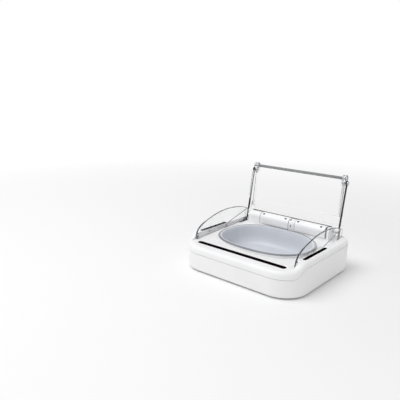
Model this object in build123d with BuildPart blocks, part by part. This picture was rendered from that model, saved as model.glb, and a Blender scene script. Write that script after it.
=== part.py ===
from build123d import *
import math
import os

# Battery powered feeding bowl with a folding clear lid that opens by itself.
# Origin at the middle of the footprint on the floor, X to the right, Y to the rear, Z up.
# The lid stands folded open, and a point in the YZ plane is written as (y, z).

# Driving dimensions, in millimetres and degrees

WIDTH = 231.0
DEPTH = 205.0
FRONT_CORNER_RADIUS = 45.0
BACK_CORNER_RADIUS = 30.0
WALL = 2.5
FOOT_HEIGHT = 2.0
REACH = 130.0

SEAM_FRONT_Z = 32.5
SEAM_BACK_Z = 48.0
SHOULDER_Z = 57.0
RISE_FRONT_Y = -88.0
RISE_BACK_Y = -60.0
TOP_EDGE_RADIUS = 7.0
BOTTOM_EDGE_RADIUS = 4.5
SEAM_GAP_HEIGHT = 0.6
SEAM_GAP_DEPTH = 0.5

DECK_Z = 46.0
DECK_Y = -70.0
DECK_SLOPE = 0.035
DECK_HALF_WIDTH = 101.5
DECK_BACK_Y = 92.0

BOWL_Y = -3.0
BOWL_POWER = 2.4
BOWL_HALF_X = 87.6
BOWL_HALF_Y = 64.0
BOWL_RIM_Z = 52.8
BOWL_RIM_THICKNESS = 1.6
BOWL_FLOOR_Z = 18.0
BOWL_WALL = 1.8
COLLAR_Z = 50.7
WELL_FLOOR_Z = 14.0

HINGE_Y = 79.6
HINGE_Z = 66.0
FOLD_Y = 96.4
FOLD_Z = 159.5
REAR_PANEL_ANGLE = 83.0
REAR_PANEL_OFFSET = 9.2
FRONT_PANEL_ANGLE = 261.0
FRONT_PANEL_OFFSET = 3.9
FRONT_PANEL_LENGTH = 67.0
PANEL_THICKNESS = 2.0
PANEL_HALF_WIDTH = 94.4
KNOB_RADIUS = 6.0
KNOB_SPLIT_X = 91.3
KNOB_INNER_X = 88.1
SHAFT_RADIUS = 2.0
PIN_RADIUS = 1.5
RUNNING_GAP = 0.05
LINK_PIN_DISTANCE = 7.9
LINK_PIN_ANGLE = 3.75
LINK_PIVOT_Y = 75.3
LINK_PIVOT_Z = 53.46
LINK_LENGTH = 99.71
LINK_LEAD = 0.5
LINK_INNER_X = 95.6
LINK_THICKNESS = 1.8
LINK_SLACK = 1.55

GUARD_INNER_X = 99.0
GUARD_THICKNESS = 2.4

HUMP_HALF_LENGTH = 84.0
HUMP_FRONT_Y = 62.0
HUMP_TOP_Z = 74.3
HUMP_NOSE_RADIUS = 8.5
HUMP_BACK_RADIUS = 7.5
HUMP_WALL = 1.6
COVER_GAP = 0.35
COVER_CENTRE = (65.0, 68.0)
COVER_REACH = (24.0, 26.0)
PARTITION_THICKNESS = 2.0
HUMP_END_WALL = 3.0
BUSH_RADIUS = 3.0
LEFT_COVER = (-54.0, 6.0)
RIGHT_COVER = (20.0, 80.5)

GEAR_MODULE = 0.6
LID_GEAR_TEETH = 16
DRIVE_GEAR_TEETH = 12
GEAR_FRONT_X = -78.0
GEAR_WIDTH = 6.0
DRIVE_DIRECTION = 250.0

CELL_RADIUS = 13.1
CELL_LENGTH = 50.0
CELL_Y = 80.0
CELL_Z = 18.0
BAY_FRONT_Y = 66.5
BAY_BACK_Y = 93.5
BAY_HALF_LENGTH = 103.2
DOOR_THICKNESS = 2.4

WINDOW_WIDTH = 4.8
FRONT_WINDOW_Y = -79.7
FRONT_WINDOW_LENGTH = 178.0
SIDE_WINDOW_X = 105.0
SIDE_WINDOW_Y = -20.0
SIDE_WINDOW_LENGTH = 74.0

BUTTON_X = 15.0
BUTTON_Z = 41.0
BUTTON_RADIUS = 4.5

SCREW_PLACES = [(-97, -80), (97, -80), (-107, 26), (107, 26), (-107, 55), (107, 55)]
SCREW_RADIUS = 1.3
SCREW_HOLE_RADIUS = 1.7
SCREW_HEAD_RADIUS = 2.8
SCREW_RECESS_RADIUS = 3.4
SCREW_RECESS_DEPTH = 3.0
LOWER_POST_RADIUS = 4.0
LOWER_POST_HEIGHT = 18.0
UPPER_POST_RADIUS = 3.6
UPPER_POST_Z = 24.6
GUARD_SCREW_PLACES = [(-40.0, 53.5), (10.0, 54.5)]
GUARD_SCREW_RADIUS = 1.0
GUARD_SLOT_X = 98.0
GUARD_SLOT_Y = 70.0
GUARD_SLOT_LENGTH = 36.0
WIRE_OPENING_Y = 73.5
WIRE_OPENING_WIDTH = 20.0

MOTOR_FRONT_X = -70.0
MOTOR_SIZE = (12.0, 10.0)
MOTOR_GEARBOX_LENGTH = 9.0
MOTOR_CAN_LENGTH = 15.0
MOTOR_SHAFT_LENGTH = 11.0

BOARD_THICKNESS = 1.6
CONTROL_BOARD_Z = 36.0
SENSOR_BOARD_Z = 45.0
BUTTON_BOARD_Y = 92.0

# Heights of the bowl's and the well's sections, each with how far it lies inside the bowl's rim

WELL_OUTSIDE = ((WELL_FLOOR_Z, 14.0), (WELL_FLOOR_Z + 14, 4.5), (COLLAR_Z, 0.9))
WELL_INSIDE = ((WELL_FLOOR_Z + 2, 15.6), (WELL_FLOOR_Z + 14, 6.5), (COLLAR_Z + 0.01, 3.3))
BOWL_OUTSIDE = (
    (BOWL_FLOOR_Z, 21.0),
    (BOWL_FLOOR_Z + 4, 12.5),
    (BOWL_FLOOR_Z + 16, 7.2),
    (BOWL_RIM_Z - 1, 5.2),
)
BOWL_INSIDE = (
    (BOWL_FLOOR_Z + BOWL_WALL, 22.5),
    (BOWL_FLOOR_Z + BOWL_WALL + 0.5, 19.3),
    (BOWL_FLOOR_Z + BOWL_WALL + 1.8, 16.5),
    (BOWL_FLOOR_Z + BOWL_WALL + 4.0, 14.0),
    (BOWL_FLOOR_Z + BOWL_WALL + 7.5, 11.8),
    (BOWL_FLOOR_Z + BOWL_WALL + 15.0, 9.2),
    (BOWL_RIM_Z + 0.01, 7.0),
)

os.makedirs("parts", exist_ok=True)


def deck_z(y):
    """Height of the sunk deck, which rises gently to the rear."""
    return DECK_Z + DECK_SLOPE * (y - DECK_Y)


def turned(origin, angle, distance):
    """Point at a distance from an origin in the YZ plane, at an angle from +Y towards +Z."""
    a = math.radians(angle)
    return (origin[0] + distance * math.cos(a), origin[1] + distance * math.sin(a))


def side_plane(origin, angle):
    """Plane square to X with its own x along an angle from +Y towards +Z."""
    along = turned((0, 0), angle, 1)
    return Plane(origin=(0, origin[0], origin[1]), x_dir=(0, along[0], along[1]), z_dir=(1, 0, 0))


def in_plane(point, origin, angle):
    """A (y, z) point in the axes of side_plane."""
    a = math.radians(angle)
    dy = point[0] - origin[0]
    dz = point[1] - origin[1]
    return (dy * math.cos(a) + dz * math.sin(a), dz * math.cos(a) - dy * math.sin(a))


def plan(inset):
    """Outline of the housing seen from above, wider rounded at the front corners, drawn inside by inset."""
    with BuildSketch() as outline:
        Rectangle(WIDTH - 2 * inset, DEPTH - 2 * inset)
        fillet(outline.vertices().group_by(Axis.Y)[0], radius=FRONT_CORNER_RADIUS - inset)
        fillet(outline.vertices().group_by(Axis.Y)[-1], radius=BACK_CORNER_RADIUS - inset)
    return outline.sketch


def oval(half_x, half_y):
    """Closed superellipse of the bowl."""
    steps = 24
    power = 2 / BOWL_POWER
    points = []
    for step in range(steps):
        angle = 2 * math.pi * step / steps
        c = math.cos(angle)
        s = math.sin(angle)
        x = math.copysign(abs(c) ** power, c) * half_x
        y = math.copysign(abs(s) ** power, s) * half_y
        points.append((x, BOWL_Y + y))
    with BuildSketch() as outline:
        with BuildLine():
            Spline(*points, periodic=True)
        make_face()
    return outline.sketch


def under_rise(front, back_z, drop):
    """Face under a line that steps up in an S from the front band to the rear, lowered by drop."""
    front_slope, front_z = front
    start = (RISE_FRONT_Y, front_z - drop)
    far = (-REACH, front_z - drop + front_slope * (-REACH - RISE_FRONT_Y))
    end = (RISE_BACK_Y, back_z - drop)
    ease = (RISE_BACK_Y - RISE_FRONT_Y) * 0.42
    with BuildSketch() as outline:
        with BuildLine():
            Line(far, start)
            Bezier(start, (start[0] + ease, start[1] + front_slope * ease), (end[0] - ease, end[1]), end)
            Polyline(end, (REACH, back_z - drop), (REACH, 0), (-REACH, 0), far)
        make_face()
    return outline.sketch


TOP_FRONT = (DECK_SLOPE, deck_z(RISE_FRONT_Y))
SEAM_FRONT = (0.0, SEAM_FRONT_Z)
HINGE = (HINGE_Y, HINGE_Z)
FOLD = (FOLD_Y, FOLD_Z)
LINK_PIVOT = (LINK_PIVOT_Y, LINK_PIVOT_Z)
LINK_PIN = turned(FOLD, FRONT_PANEL_ANGLE + LINK_PIN_ANGLE, LINK_PIN_DISTANCE)
LINK_PIN_IN_FRONT = in_plane(LINK_PIN, FOLD, FRONT_PANEL_ANGLE)
DRIVE_CENTRE_DISTANCE = GEAR_MODULE * (LID_GEAR_TEETH + DRIVE_GEAR_TEETH) / 2 + 0.08
DRIVE = turned(HINGE, DRIVE_DIRECTION, DRIVE_CENTRE_DISTANCE)

# Lower housing: tub with soft bottom edge, screw posts and a battery bay open to below

with BuildPart() as lower_core:
    with BuildSketch(Plane.XY.offset(FOOT_HEIGHT + WALL)):
        add(plan(WALL))
    extrude(amount=SHOULDER_Z)
    with BuildSketch(Plane.XY.offset(FOOT_HEIGHT + WALL)):
        with Locations((0, (BAY_FRONT_Y + BAY_BACK_Y) / 2)):
            Rectangle(2 * BAY_HALF_LENGTH + 2 * WALL, BAY_BACK_Y - BAY_FRONT_Y + 2 * WALL)
    extrude(amount=2 * CELL_RADIUS + 2, mode=Mode.SUBTRACT)

with BuildPart() as seam_gap:
    with BuildSketch(Plane.XY.offset(FOOT_HEIGHT)):
        add(plan(-2.0))
        add(plan(SEAM_GAP_DEPTH), mode=Mode.SUBTRACT)
    extrude(amount=SHOULDER_Z)
    with BuildSketch(Plane.YZ):
        add(under_rise(SEAM_FRONT, SEAM_BACK_Z, SEAM_GAP_HEIGHT))
    extrude(amount=WIDTH, both=True, mode=Mode.SUBTRACT)

with BuildPart() as lower_housing:
    with BuildSketch(Plane.XY.offset(FOOT_HEIGHT)):
        add(plan(0.0))
    extrude(amount=SEAM_BACK_Z)
    fillet(lower_housing.faces().sort_by(Axis.Z)[0].edges(), radius=BOTTOM_EDGE_RADIUS)
    with BuildSketch(Plane.YZ):
        add(under_rise(SEAM_FRONT, SEAM_BACK_Z, 0.0))
    extrude(amount=WIDTH, both=True, mode=Mode.INTERSECT)
    add(lower_core.part, mode=Mode.SUBTRACT)
    with BuildSketch(Plane.XY.offset(FOOT_HEIGHT)):
        with Locations((0, (BAY_FRONT_Y + BAY_BACK_Y) / 2)):
            Rectangle(2 * BAY_HALF_LENGTH, BAY_BACK_Y - BAY_FRONT_Y)
            Rectangle(2.0, BAY_BACK_Y - BAY_FRONT_Y, mode=Mode.SUBTRACT)
    extrude(amount=WALL + 2 * CELL_RADIUS + 3, mode=Mode.SUBTRACT)
    with BuildSketch(Plane.XY.offset(FOOT_HEIGHT + WALL)):
        with Locations(*SCREW_PLACES):
            Circle(LOWER_POST_RADIUS)
    extrude(amount=LOWER_POST_HEIGHT)
    with BuildSketch(Plane.XY.offset(FOOT_HEIGHT)):
        with Locations(*SCREW_PLACES):
            Circle(SCREW_HOLE_RADIUS)
    extrude(amount=22.0, mode=Mode.SUBTRACT)
    with BuildSketch(Plane.XY.offset(FOOT_HEIGHT)):
        with Locations(*SCREW_PLACES):
            Circle(SCREW_RECESS_RADIUS)
    extrude(amount=SCREW_RECESS_DEPTH, mode=Mode.SUBTRACT)
    with BuildSketch(Plane.XZ.offset(-DEPTH / 2)):
        with Locations((-BUTTON_X, BUTTON_Z), (BUTTON_X, BUTTON_Z)):
            Circle(BUTTON_RADIUS + 0.2)
    extrude(amount=WALL + 1.0, mode=Mode.SUBTRACT)
    add(seam_gap.part, mode=Mode.SUBTRACT)
lower_housing.part.label = "lower_housing"
export_step(lower_housing.part, "parts/lower_housing.step")

# Upper housing: front band, raised shoulders, sunk deck and the well for the bowl

with BuildPart() as seam_cutter:
    with BuildSketch():
        add(plan(-2.0))
        add(plan(WALL), mode=Mode.SUBTRACT)
    extrude(amount=SHOULDER_Z)
    with BuildSketch(Plane.YZ):
        add(under_rise(SEAM_FRONT, SEAM_BACK_Z, 0.0))
    extrude(amount=WIDTH, both=True, mode=Mode.INTERSECT)

with BuildPart() as upper_core:
    with BuildSketch(Plane.XY.offset(SEAM_FRONT_Z - 1)):
        add(plan(WALL))
    extrude(amount=SHOULDER_Z - SEAM_FRONT_Z)
    with BuildSketch(Plane.YZ):
        add(under_rise(TOP_FRONT, SHOULDER_Z, WALL))
    extrude(amount=WIDTH, both=True, mode=Mode.INTERSECT)
    fillet(
        [
            e
            for f in upper_core.faces().filter_by(lambda f: f.normal_at(f.center()).Z > 0.5)
            for e in f.edges()
            if abs(e.center().Y) > DEPTH / 2 - WALL - 1 or abs(e.tangent_at(0.5).X) < 0.9
        ],
        radius=TOP_EDGE_RADIUS - WALL,
    )
    with BuildSketch(Plane.YZ):
        Polygon(
            (RISE_FRONT_Y, deck_z(RISE_FRONT_Y) - WALL),
            (DECK_BACK_Y + WALL, deck_z(DECK_BACK_Y + WALL) - WALL),
            (DECK_BACK_Y + WALL, SHOULDER_Z),
            (RISE_FRONT_Y, SHOULDER_Z),
            align=None,
        )
    extrude(amount=DECK_HALF_WIDTH + WALL, both=True, mode=Mode.SUBTRACT)

with BuildPart() as upper_housing:
    with BuildSketch(Plane.XY.offset(SEAM_FRONT_Z)):
        add(plan(0.0))
    extrude(amount=SHOULDER_Z)
    with BuildSketch(Plane.YZ):
        add(under_rise(TOP_FRONT, SHOULDER_Z, 0.0))
    extrude(amount=WIDTH, both=True, mode=Mode.INTERSECT)
    fillet(
        [
            e
            for f in upper_housing.faces().filter_by(lambda f: f.normal_at(f.center()).Z > 0.5)
            for e in f.edges()
            if abs(e.center().Y) > DEPTH / 2 - 1 or abs(e.tangent_at(0.5).X) < 0.9
        ],
        radius=TOP_EDGE_RADIUS,
    )
    with BuildSketch(Plane.YZ):
        Polygon(
            (RISE_FRONT_Y, deck_z(RISE_FRONT_Y)),
            (DECK_BACK_Y, deck_z(DECK_BACK_Y)),
            (DECK_BACK_Y, SHOULDER_Z + 9),
            (RISE_FRONT_Y, SHOULDER_Z + 9),
            align=None,
        )
    extrude(amount=DECK_HALF_WIDTH, both=True, mode=Mode.SUBTRACT)
    add(upper_core.part, mode=Mode.SUBTRACT)
    add(seam_cutter.part, mode=Mode.SUBTRACT)
    with BuildSketch(Plane.XY.offset(UPPER_POST_Z)):
        with Locations(*SCREW_PLACES):
            Circle(UPPER_POST_RADIUS)
    extrude(amount=deck_z(-82) - WALL / 2 - UPPER_POST_Z)
    with BuildSketch(Plane.XY.offset(DECK_Z - 6)):
        with Locations(*SCREW_PLACES[2:]):
            Circle(UPPER_POST_RADIUS)
    extrude(amount=SHOULDER_Z - WALL / 2 - DECK_Z + 6)
    with BuildSketch(Plane.XY.offset(UPPER_POST_Z)):
        with Locations(*SCREW_PLACES):
            Circle(SCREW_RADIUS)
    extrude(amount=12.0, mode=Mode.SUBTRACT)
    for z, inset in WELL_OUTSIDE:
        with BuildSketch(Plane.XY.offset(z)):
            add(oval(BOWL_HALF_X - inset, BOWL_HALF_Y - inset))
    loft(ruled=True)
    for z, inset in WELL_INSIDE:
        with BuildSketch(Plane.XY.offset(z)):
            add(oval(BOWL_HALF_X - inset, BOWL_HALF_Y - inset))
    loft(ruled=True, mode=Mode.SUBTRACT)
    with BuildSketch(Plane.XY.offset(30)):
        with Locations((0, FRONT_WINDOW_Y)):
            SlotOverall(FRONT_WINDOW_LENGTH, WINDOW_WIDTH)
        with Locations((-SIDE_WINDOW_X, SIDE_WINDOW_Y), (SIDE_WINDOW_X, SIDE_WINDOW_Y)):
            SlotOverall(SIDE_WINDOW_LENGTH, WINDOW_WIDTH, rotation=90)
    extrude(amount=40, mode=Mode.SUBTRACT)
    with BuildSketch(Plane.XY.offset(SEAM_BACK_Z - 4)):
        with Locations((-GUARD_SLOT_X, GUARD_SLOT_Y), (GUARD_SLOT_X, GUARD_SLOT_Y)):
            Rectangle(2 * (DECK_HALF_WIDTH - GUARD_SLOT_X), GUARD_SLOT_LENGTH)
        with Locations((0, WIRE_OPENING_Y)):
            Rectangle(2 * HUMP_HALF_LENGTH - 10, WIRE_OPENING_WIDTH)
    extrude(amount=12, mode=Mode.SUBTRACT)
upper_housing.part.label = "upper_housing"
export_step(upper_housing.part, "parts/upper_housing.step")

# Bowl with a flat rim, and the rubber ring that it sits on

with BuildPart() as bowl:
    for z, inset in BOWL_OUTSIDE:
        with BuildSketch(Plane.XY.offset(z)):
            add(oval(BOWL_HALF_X - inset, BOWL_HALF_Y - inset))
    loft(ruled=True)
    with BuildSketch(Plane.XY.offset(BOWL_RIM_Z - BOWL_RIM_THICKNESS)):
        add(oval(BOWL_HALF_X, BOWL_HALF_Y))
    extrude(amount=BOWL_RIM_THICKNESS)
    fillet(bowl.faces().sort_by(Axis.Z)[-1].edges(), radius=0.7)
    for z, inset in BOWL_INSIDE:
        with BuildSketch(Plane.XY.offset(z)):
            add(oval(BOWL_HALF_X - inset, BOWL_HALF_Y - inset))
    loft(ruled=True, mode=Mode.SUBTRACT)
bowl.part.label = "bowl"
export_step(bowl.part, "parts/bowl.step")

with BuildPart() as bowl_seal:
    with BuildSketch(Plane.XY.offset(COLLAR_Z)):
        add(oval(BOWL_HALF_X - 0.5, BOWL_HALF_Y - 0.5))
    extrude(amount=BOWL_RIM_Z - BOWL_RIM_THICKNESS - COLLAR_Z)
    with BuildSketch(Plane.XY.offset(COLLAR_Z)):
        add(oval(BOWL_HALF_X - 3.2, BOWL_HALF_Y - 3.2))
    extrude(amount=5, mode=Mode.SUBTRACT)
bowl_seal.part.label = "bowl_seal"
export_step(bowl_seal.part, "parts/bowl_seal.step")

# Dark windows over the infrared diodes

with BuildPart() as sensor_window_front:
    with BuildSketch(Plane.XY.offset(deck_z(FRONT_WINDOW_Y) - WALL)):
        with Locations((0, FRONT_WINDOW_Y)):
            SlotOverall(FRONT_WINDOW_LENGTH - 0.1, WINDOW_WIDTH - 0.1)
    extrude(amount=WALL + 0.15)
sensor_window_front.part.label = "sensor_window_front"
export_step(sensor_window_front.part, "parts/sensor_window_front.step")

for side, name in ((-1, "sensor_window_left"), (1, "sensor_window_right")):
    with BuildPart() as sensor_window_side:
        with BuildSketch(Plane.XY.offset(SHOULDER_Z - WALL)):
            with Locations((side * SIDE_WINDOW_X, SIDE_WINDOW_Y)):
                SlotOverall(SIDE_WINDOW_LENGTH - 0.1, WINDOW_WIDTH - 0.1, rotation=90)
        extrude(amount=WALL + 0.1)
    sensor_window_side.part.label = name
    export_step(sensor_window_side.part, f"parts/{name}.step")

# Clear guards, arched over the path of the lid's free edge, with a foot that holds the link's pivot

GUARD_ARC = [(-72.0, 58.5), (-67.0, 65.0), (-45.0, 75.0), (-11.0, 83.3), (22.0, 85.3), (57.0, 81.3), (80.0, 74.0)]
GUARD_FOOT = [(83.0, 70.5), (80.5, 46.2), (70.0, 46.2), (70.0, deck_z(70.0) + 0.05)]
GUARD_NOSE = [(-70.0, deck_z(-70.0) + 0.05), (-74.0, 51.5)]

with BuildPart() as side_guard_right:
    with BuildSketch(Plane.YZ.offset(GUARD_INNER_X)):
        with BuildLine():
            Spline(*GUARD_ARC)
            Polyline(GUARD_ARC[-1], *GUARD_FOOT, *GUARD_NOSE, GUARD_ARC[0])
        make_face()
        with Locations(LINK_PIVOT):
            Circle(PIN_RADIUS, mode=Mode.SUBTRACT)
        with Locations(*GUARD_SCREW_PLACES):
            Circle(GUARD_SCREW_RADIUS + 0.1, mode=Mode.SUBTRACT)
    extrude(amount=GUARD_THICKNESS)
side_guard_right.part.label = "side_guard_right"
export_step(side_guard_right.part, "parts/side_guard_right.step")

with BuildPart() as side_guard_left:
    mirror(side_guard_right.part, about=Plane.YZ)
side_guard_left.part.label = "side_guard_left"
export_step(side_guard_left.part, "parts/side_guard_left.step")

with BuildPart() as guard_screws_right:
    with BuildSketch(Plane.YZ.offset(GUARD_INNER_X)):
        with Locations(*GUARD_SCREW_PLACES):
            Circle(GUARD_SCREW_RADIUS)
    extrude(amount=GUARD_THICKNESS + 0.1)
    with BuildSketch(Plane.YZ.offset(GUARD_INNER_X)):
        with Locations(*GUARD_SCREW_PLACES):
            Circle(1.9)
    extrude(amount=-0.8)

with BuildPart() as guard_screws:
    add(guard_screws_right.part)
    mirror(guard_screws_right.part, about=Plane.YZ)
guard_screws.part.label = "guard_screws"
export_step(guard_screws.part, "parts/guard_screws.step")

# Hinge housing behind the bowl: a rounded shell with two windows that the covers close


def hump_outline(inset):
    """Outline of the hinge housing in the YZ plane, drawn inside by inset."""
    front = HUMP_FRONT_Y + inset
    top = HUMP_TOP_Z - inset
    nose = HUMP_NOSE_RADIUS - inset / 2
    back = HUMP_BACK_RADIUS - inset
    base_front = (front, deck_z(front) + 0.05)
    base_back = (HINGE_Y + back, deck_z(HINGE_Y + back) + 0.05)
    nose_mid = (front + nose * (1 - math.sqrt(0.5)), top - nose * (1 - math.sqrt(0.5)))
    with BuildSketch() as outline:
        with BuildLine():
            Line(base_front, (front, top - nose))
            ThreePointArc((front, top - nose), nose_mid, (front + nose, top))
            Line((front + nose, top), turned(HINGE, 90, back))
            ThreePointArc(turned(HINGE, 90, back), turned(HINGE, 45, back), turned(HINGE, 0, back))
            Polyline(turned(HINGE, 0, back), base_back, base_front)
        make_face()
    return outline.sketch


with BuildPart() as hump_shell:
    with BuildSketch(Plane.YZ.offset(-HUMP_HALF_LENGTH)):
        add(hump_outline(0.0))
    extrude(amount=2 * HUMP_HALF_LENGTH)
    with BuildSketch(Plane.YZ.offset(-HUMP_HALF_LENGTH + HUMP_END_WALL)):
        add(hump_outline(HUMP_WALL))
    extrude(amount=2 * (HUMP_HALF_LENGTH - HUMP_END_WALL), mode=Mode.SUBTRACT)


with BuildPart() as hinge_housing_open:
    add(hump_shell.part)
    for span in (LEFT_COVER, RIGHT_COVER):
        with BuildSketch(Plane.YZ.offset(span[0])):
            with Locations(COVER_CENTRE):
                Rectangle(*COVER_REACH)
        extrude(amount=span[1] - span[0], mode=Mode.SUBTRACT)
    for x in (LEFT_COVER[1], RIGHT_COVER[0] - PARTITION_THICKNESS):
        with BuildSketch(Plane.YZ.offset(x)):
            add(hump_outline(HUMP_WALL / 2))
        extrude(amount=PARTITION_THICKNESS)
    with BuildSketch(Plane.YZ.offset(-REACH)):
        with Locations(HINGE):
            Circle(BUSH_RADIUS)
    extrude(amount=2 * REACH, mode=Mode.SUBTRACT)

NOSE_CENTRE = (HUMP_FRONT_Y + HUMP_NOSE_RADIUS, HUMP_TOP_Z - HUMP_NOSE_RADIUS)
COVER_SCREW_X = (-50.5, -3.0, 8.5, 23.5, 69.0)
COVER_SCREW_ANGLE = 118.0

with BuildPart() as hinge_cover_screws:
    for x in COVER_SCREW_X:
        head = turned(NOSE_CENTRE, COVER_SCREW_ANGLE, HUMP_NOSE_RADIUS - 0.5)
        normal = turned((0, 0), COVER_SCREW_ANGLE, 1)
        head_plane = Plane(origin=(x, head[0], head[1]), x_dir=(1, 0, 0), z_dir=(0, normal[0], normal[1]))
        with BuildSketch(head_plane):
            Circle(2.0)
        extrude(amount=0.8)
        with BuildSketch(head_plane):
            Circle(0.8)
        extrude(amount=-4.0)
hinge_cover_screws.part.label = "hinge_cover_screws"
export_step(hinge_cover_screws.part, "parts/hinge_cover_screws.step")

for span, name in ((LEFT_COVER, "hinge_cover_left"), (RIGHT_COVER, "hinge_cover_right")):
    with BuildPart() as hinge_cover:
        add(hump_shell.part)
        with BuildSketch(Plane.YZ.offset(span[0] + COVER_GAP)):
            with Locations(COVER_CENTRE):
                Rectangle(COVER_REACH[0] - 2 * COVER_GAP, COVER_REACH[1] - 2 * COVER_GAP)
        extrude(amount=span[1] - span[0] - 2 * COVER_GAP, mode=Mode.INTERSECT)
        add(hinge_cover_screws.part, mode=Mode.SUBTRACT)
    hinge_cover.part.label = name
    export_step(hinge_cover.part, f"parts/{name}.step")

with BuildPart() as hinge_housing:
    add(hinge_housing_open.part)
    add(hinge_cover_screws.part, mode=Mode.SUBTRACT)
hinge_housing.part.label = "hinge_housing"
export_step(hinge_housing.part, "parts/hinge_housing.step")

# Shaft, bushes and gears of the lid

with BuildPart() as shaft_bushes:
    for x, length in (
        (-HUMP_HALF_LENGTH, HUMP_END_WALL),
        (HUMP_HALF_LENGTH - HUMP_END_WALL, HUMP_END_WALL),
        (LEFT_COVER[1], PARTITION_THICKNESS),
        (RIGHT_COVER[0] - PARTITION_THICKNESS, PARTITION_THICKNESS),
    ):
        with BuildSketch(Plane.YZ.offset(x)):
            with Locations(HINGE):
                Circle(BUSH_RADIUS)
                Circle(SHAFT_RADIUS + RUNNING_GAP, mode=Mode.SUBTRACT)
        extrude(amount=length)
shaft_bushes.part.label = "shaft_bushes"
export_step(shaft_bushes.part, "parts/shaft_bushes.step")

with BuildPart() as lid_shaft:
    with BuildSketch(Plane.YZ.offset(-95.0)):
        with Locations(HINGE):
            Circle(SHAFT_RADIUS)
    extrude(amount=190.0)
    chamfer(lid_shaft.edges().group_by(Axis.X)[0], length=0.4)
    chamfer(lid_shaft.edges().group_by(Axis.X)[-1], length=0.4)
lid_shaft.part.label = "lid_shaft"
export_step(lid_shaft.part, "parts/lid_shaft.step")


def gear_face(teeth, first_angle):
    """Face of a small spur gear, its first tooth at an angle from the sketch's own x."""
    pitch = GEAR_MODULE * teeth / 2
    root = pitch - 1.25 * GEAR_MODULE
    tip = pitch + GEAR_MODULE
    half = math.pi * GEAR_MODULE / 4 - 0.07
    tooth = [(root - 0.3, half * 1.35), (tip, half * 0.5), (tip, -half * 0.5), (root - 0.3, -half * 1.35)]
    with BuildSketch() as outline:
        Circle(root)
        with PolarLocations(0, teeth, start_angle=first_angle):
            Polygon(*tooth, align=None)
    return outline.sketch


with BuildPart() as lid_gear:
    with BuildSketch(side_plane(HINGE, DRIVE_DIRECTION).offset(GEAR_FRONT_X)):
        add(gear_face(LID_GEAR_TEETH, 0.0))
        Circle(SHAFT_RADIUS, mode=Mode.SUBTRACT)
    extrude(amount=GEAR_WIDTH)
lid_gear.part.label = "lid_gear"
export_step(lid_gear.part, "parts/lid_gear.step")

with BuildPart() as drive_gear:
    with BuildSketch(side_plane(DRIVE, DRIVE_DIRECTION + 180).offset(GEAR_FRONT_X)):
        add(gear_face(DRIVE_GEAR_TEETH, 180.0 / DRIVE_GEAR_TEETH))
        Circle(PIN_RADIUS, mode=Mode.SUBTRACT)
    extrude(amount=GEAR_WIDTH)
drive_gear.part.label = "drive_gear"
export_step(drive_gear.part, "parts/drive_gear.step")

with BuildPart() as motor_output_shaft:
    with BuildSketch(Plane.YZ.offset(GEAR_FRONT_X)):
        with Locations(DRIVE):
            Circle(PIN_RADIUS)
    extrude(amount=MOTOR_SHAFT_LENGTH)
motor_output_shaft.part.label = "motor_output_shaft"
export_step(motor_output_shaft.part, "parts/motor_output_shaft.step")

with BuildPart() as gear_motor:
    with BuildSketch(Plane.YZ.offset(MOTOR_FRONT_X)):
        with Locations(DRIVE):
            Rectangle(*MOTOR_SIZE)
    extrude(amount=MOTOR_GEARBOX_LENGTH)
    with BuildSketch(Plane.YZ.offset(MOTOR_FRONT_X + MOTOR_GEARBOX_LENGTH)):
        with Locations(DRIVE):
            Circle(MOTOR_SIZE[0] / 2)
            Rectangle(*MOTOR_SIZE, mode=Mode.INTERSECT)
    extrude(amount=MOTOR_CAN_LENGTH)
    with BuildSketch(Plane.YZ.offset(MOTOR_FRONT_X)):
        with Locations(DRIVE):
            Circle(PIN_RADIUS + RUNNING_GAP)
    extrude(amount=4.0, mode=Mode.SUBTRACT)
gear_motor.part.label = "gear_motor"
export_step(gear_motor.part, "parts/gear_motor.step")

with BuildPart() as gear_motor_clamp:
    with BuildSketch(Plane.YZ.offset(MOTOR_FRONT_X + 4)):
        with Locations((DRIVE[0], DRIVE[1] - 2)):
            Rectangle(MOTOR_SIZE[0] + 3, MOTOR_SIZE[1] - 2)
        with Locations(DRIVE):
            Rectangle(MOTOR_SIZE[0] + 0.1, MOTOR_SIZE[1] + 0.1, mode=Mode.SUBTRACT)
    extrude(amount=12.0)
gear_motor_clamp.part.label = "gear_motor_clamp"
export_step(gear_motor_clamp.part, "parts/gear_motor_clamp.step")

# Rear lid panel: plate behind the hinge line, two arms to the shaft and the outer fold knobs

REAR_FRAME = side_plane(HINGE, REAR_PANEL_ANGLE)
FOLD_IN_REAR = in_plane(FOLD, HINGE, REAR_PANEL_ANGLE)
REAR_PANEL_START = 10.5
REAR_NOTCH = 13.0
REAR_PANEL_END = FOLD_IN_REAR[0] - 1.0

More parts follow.
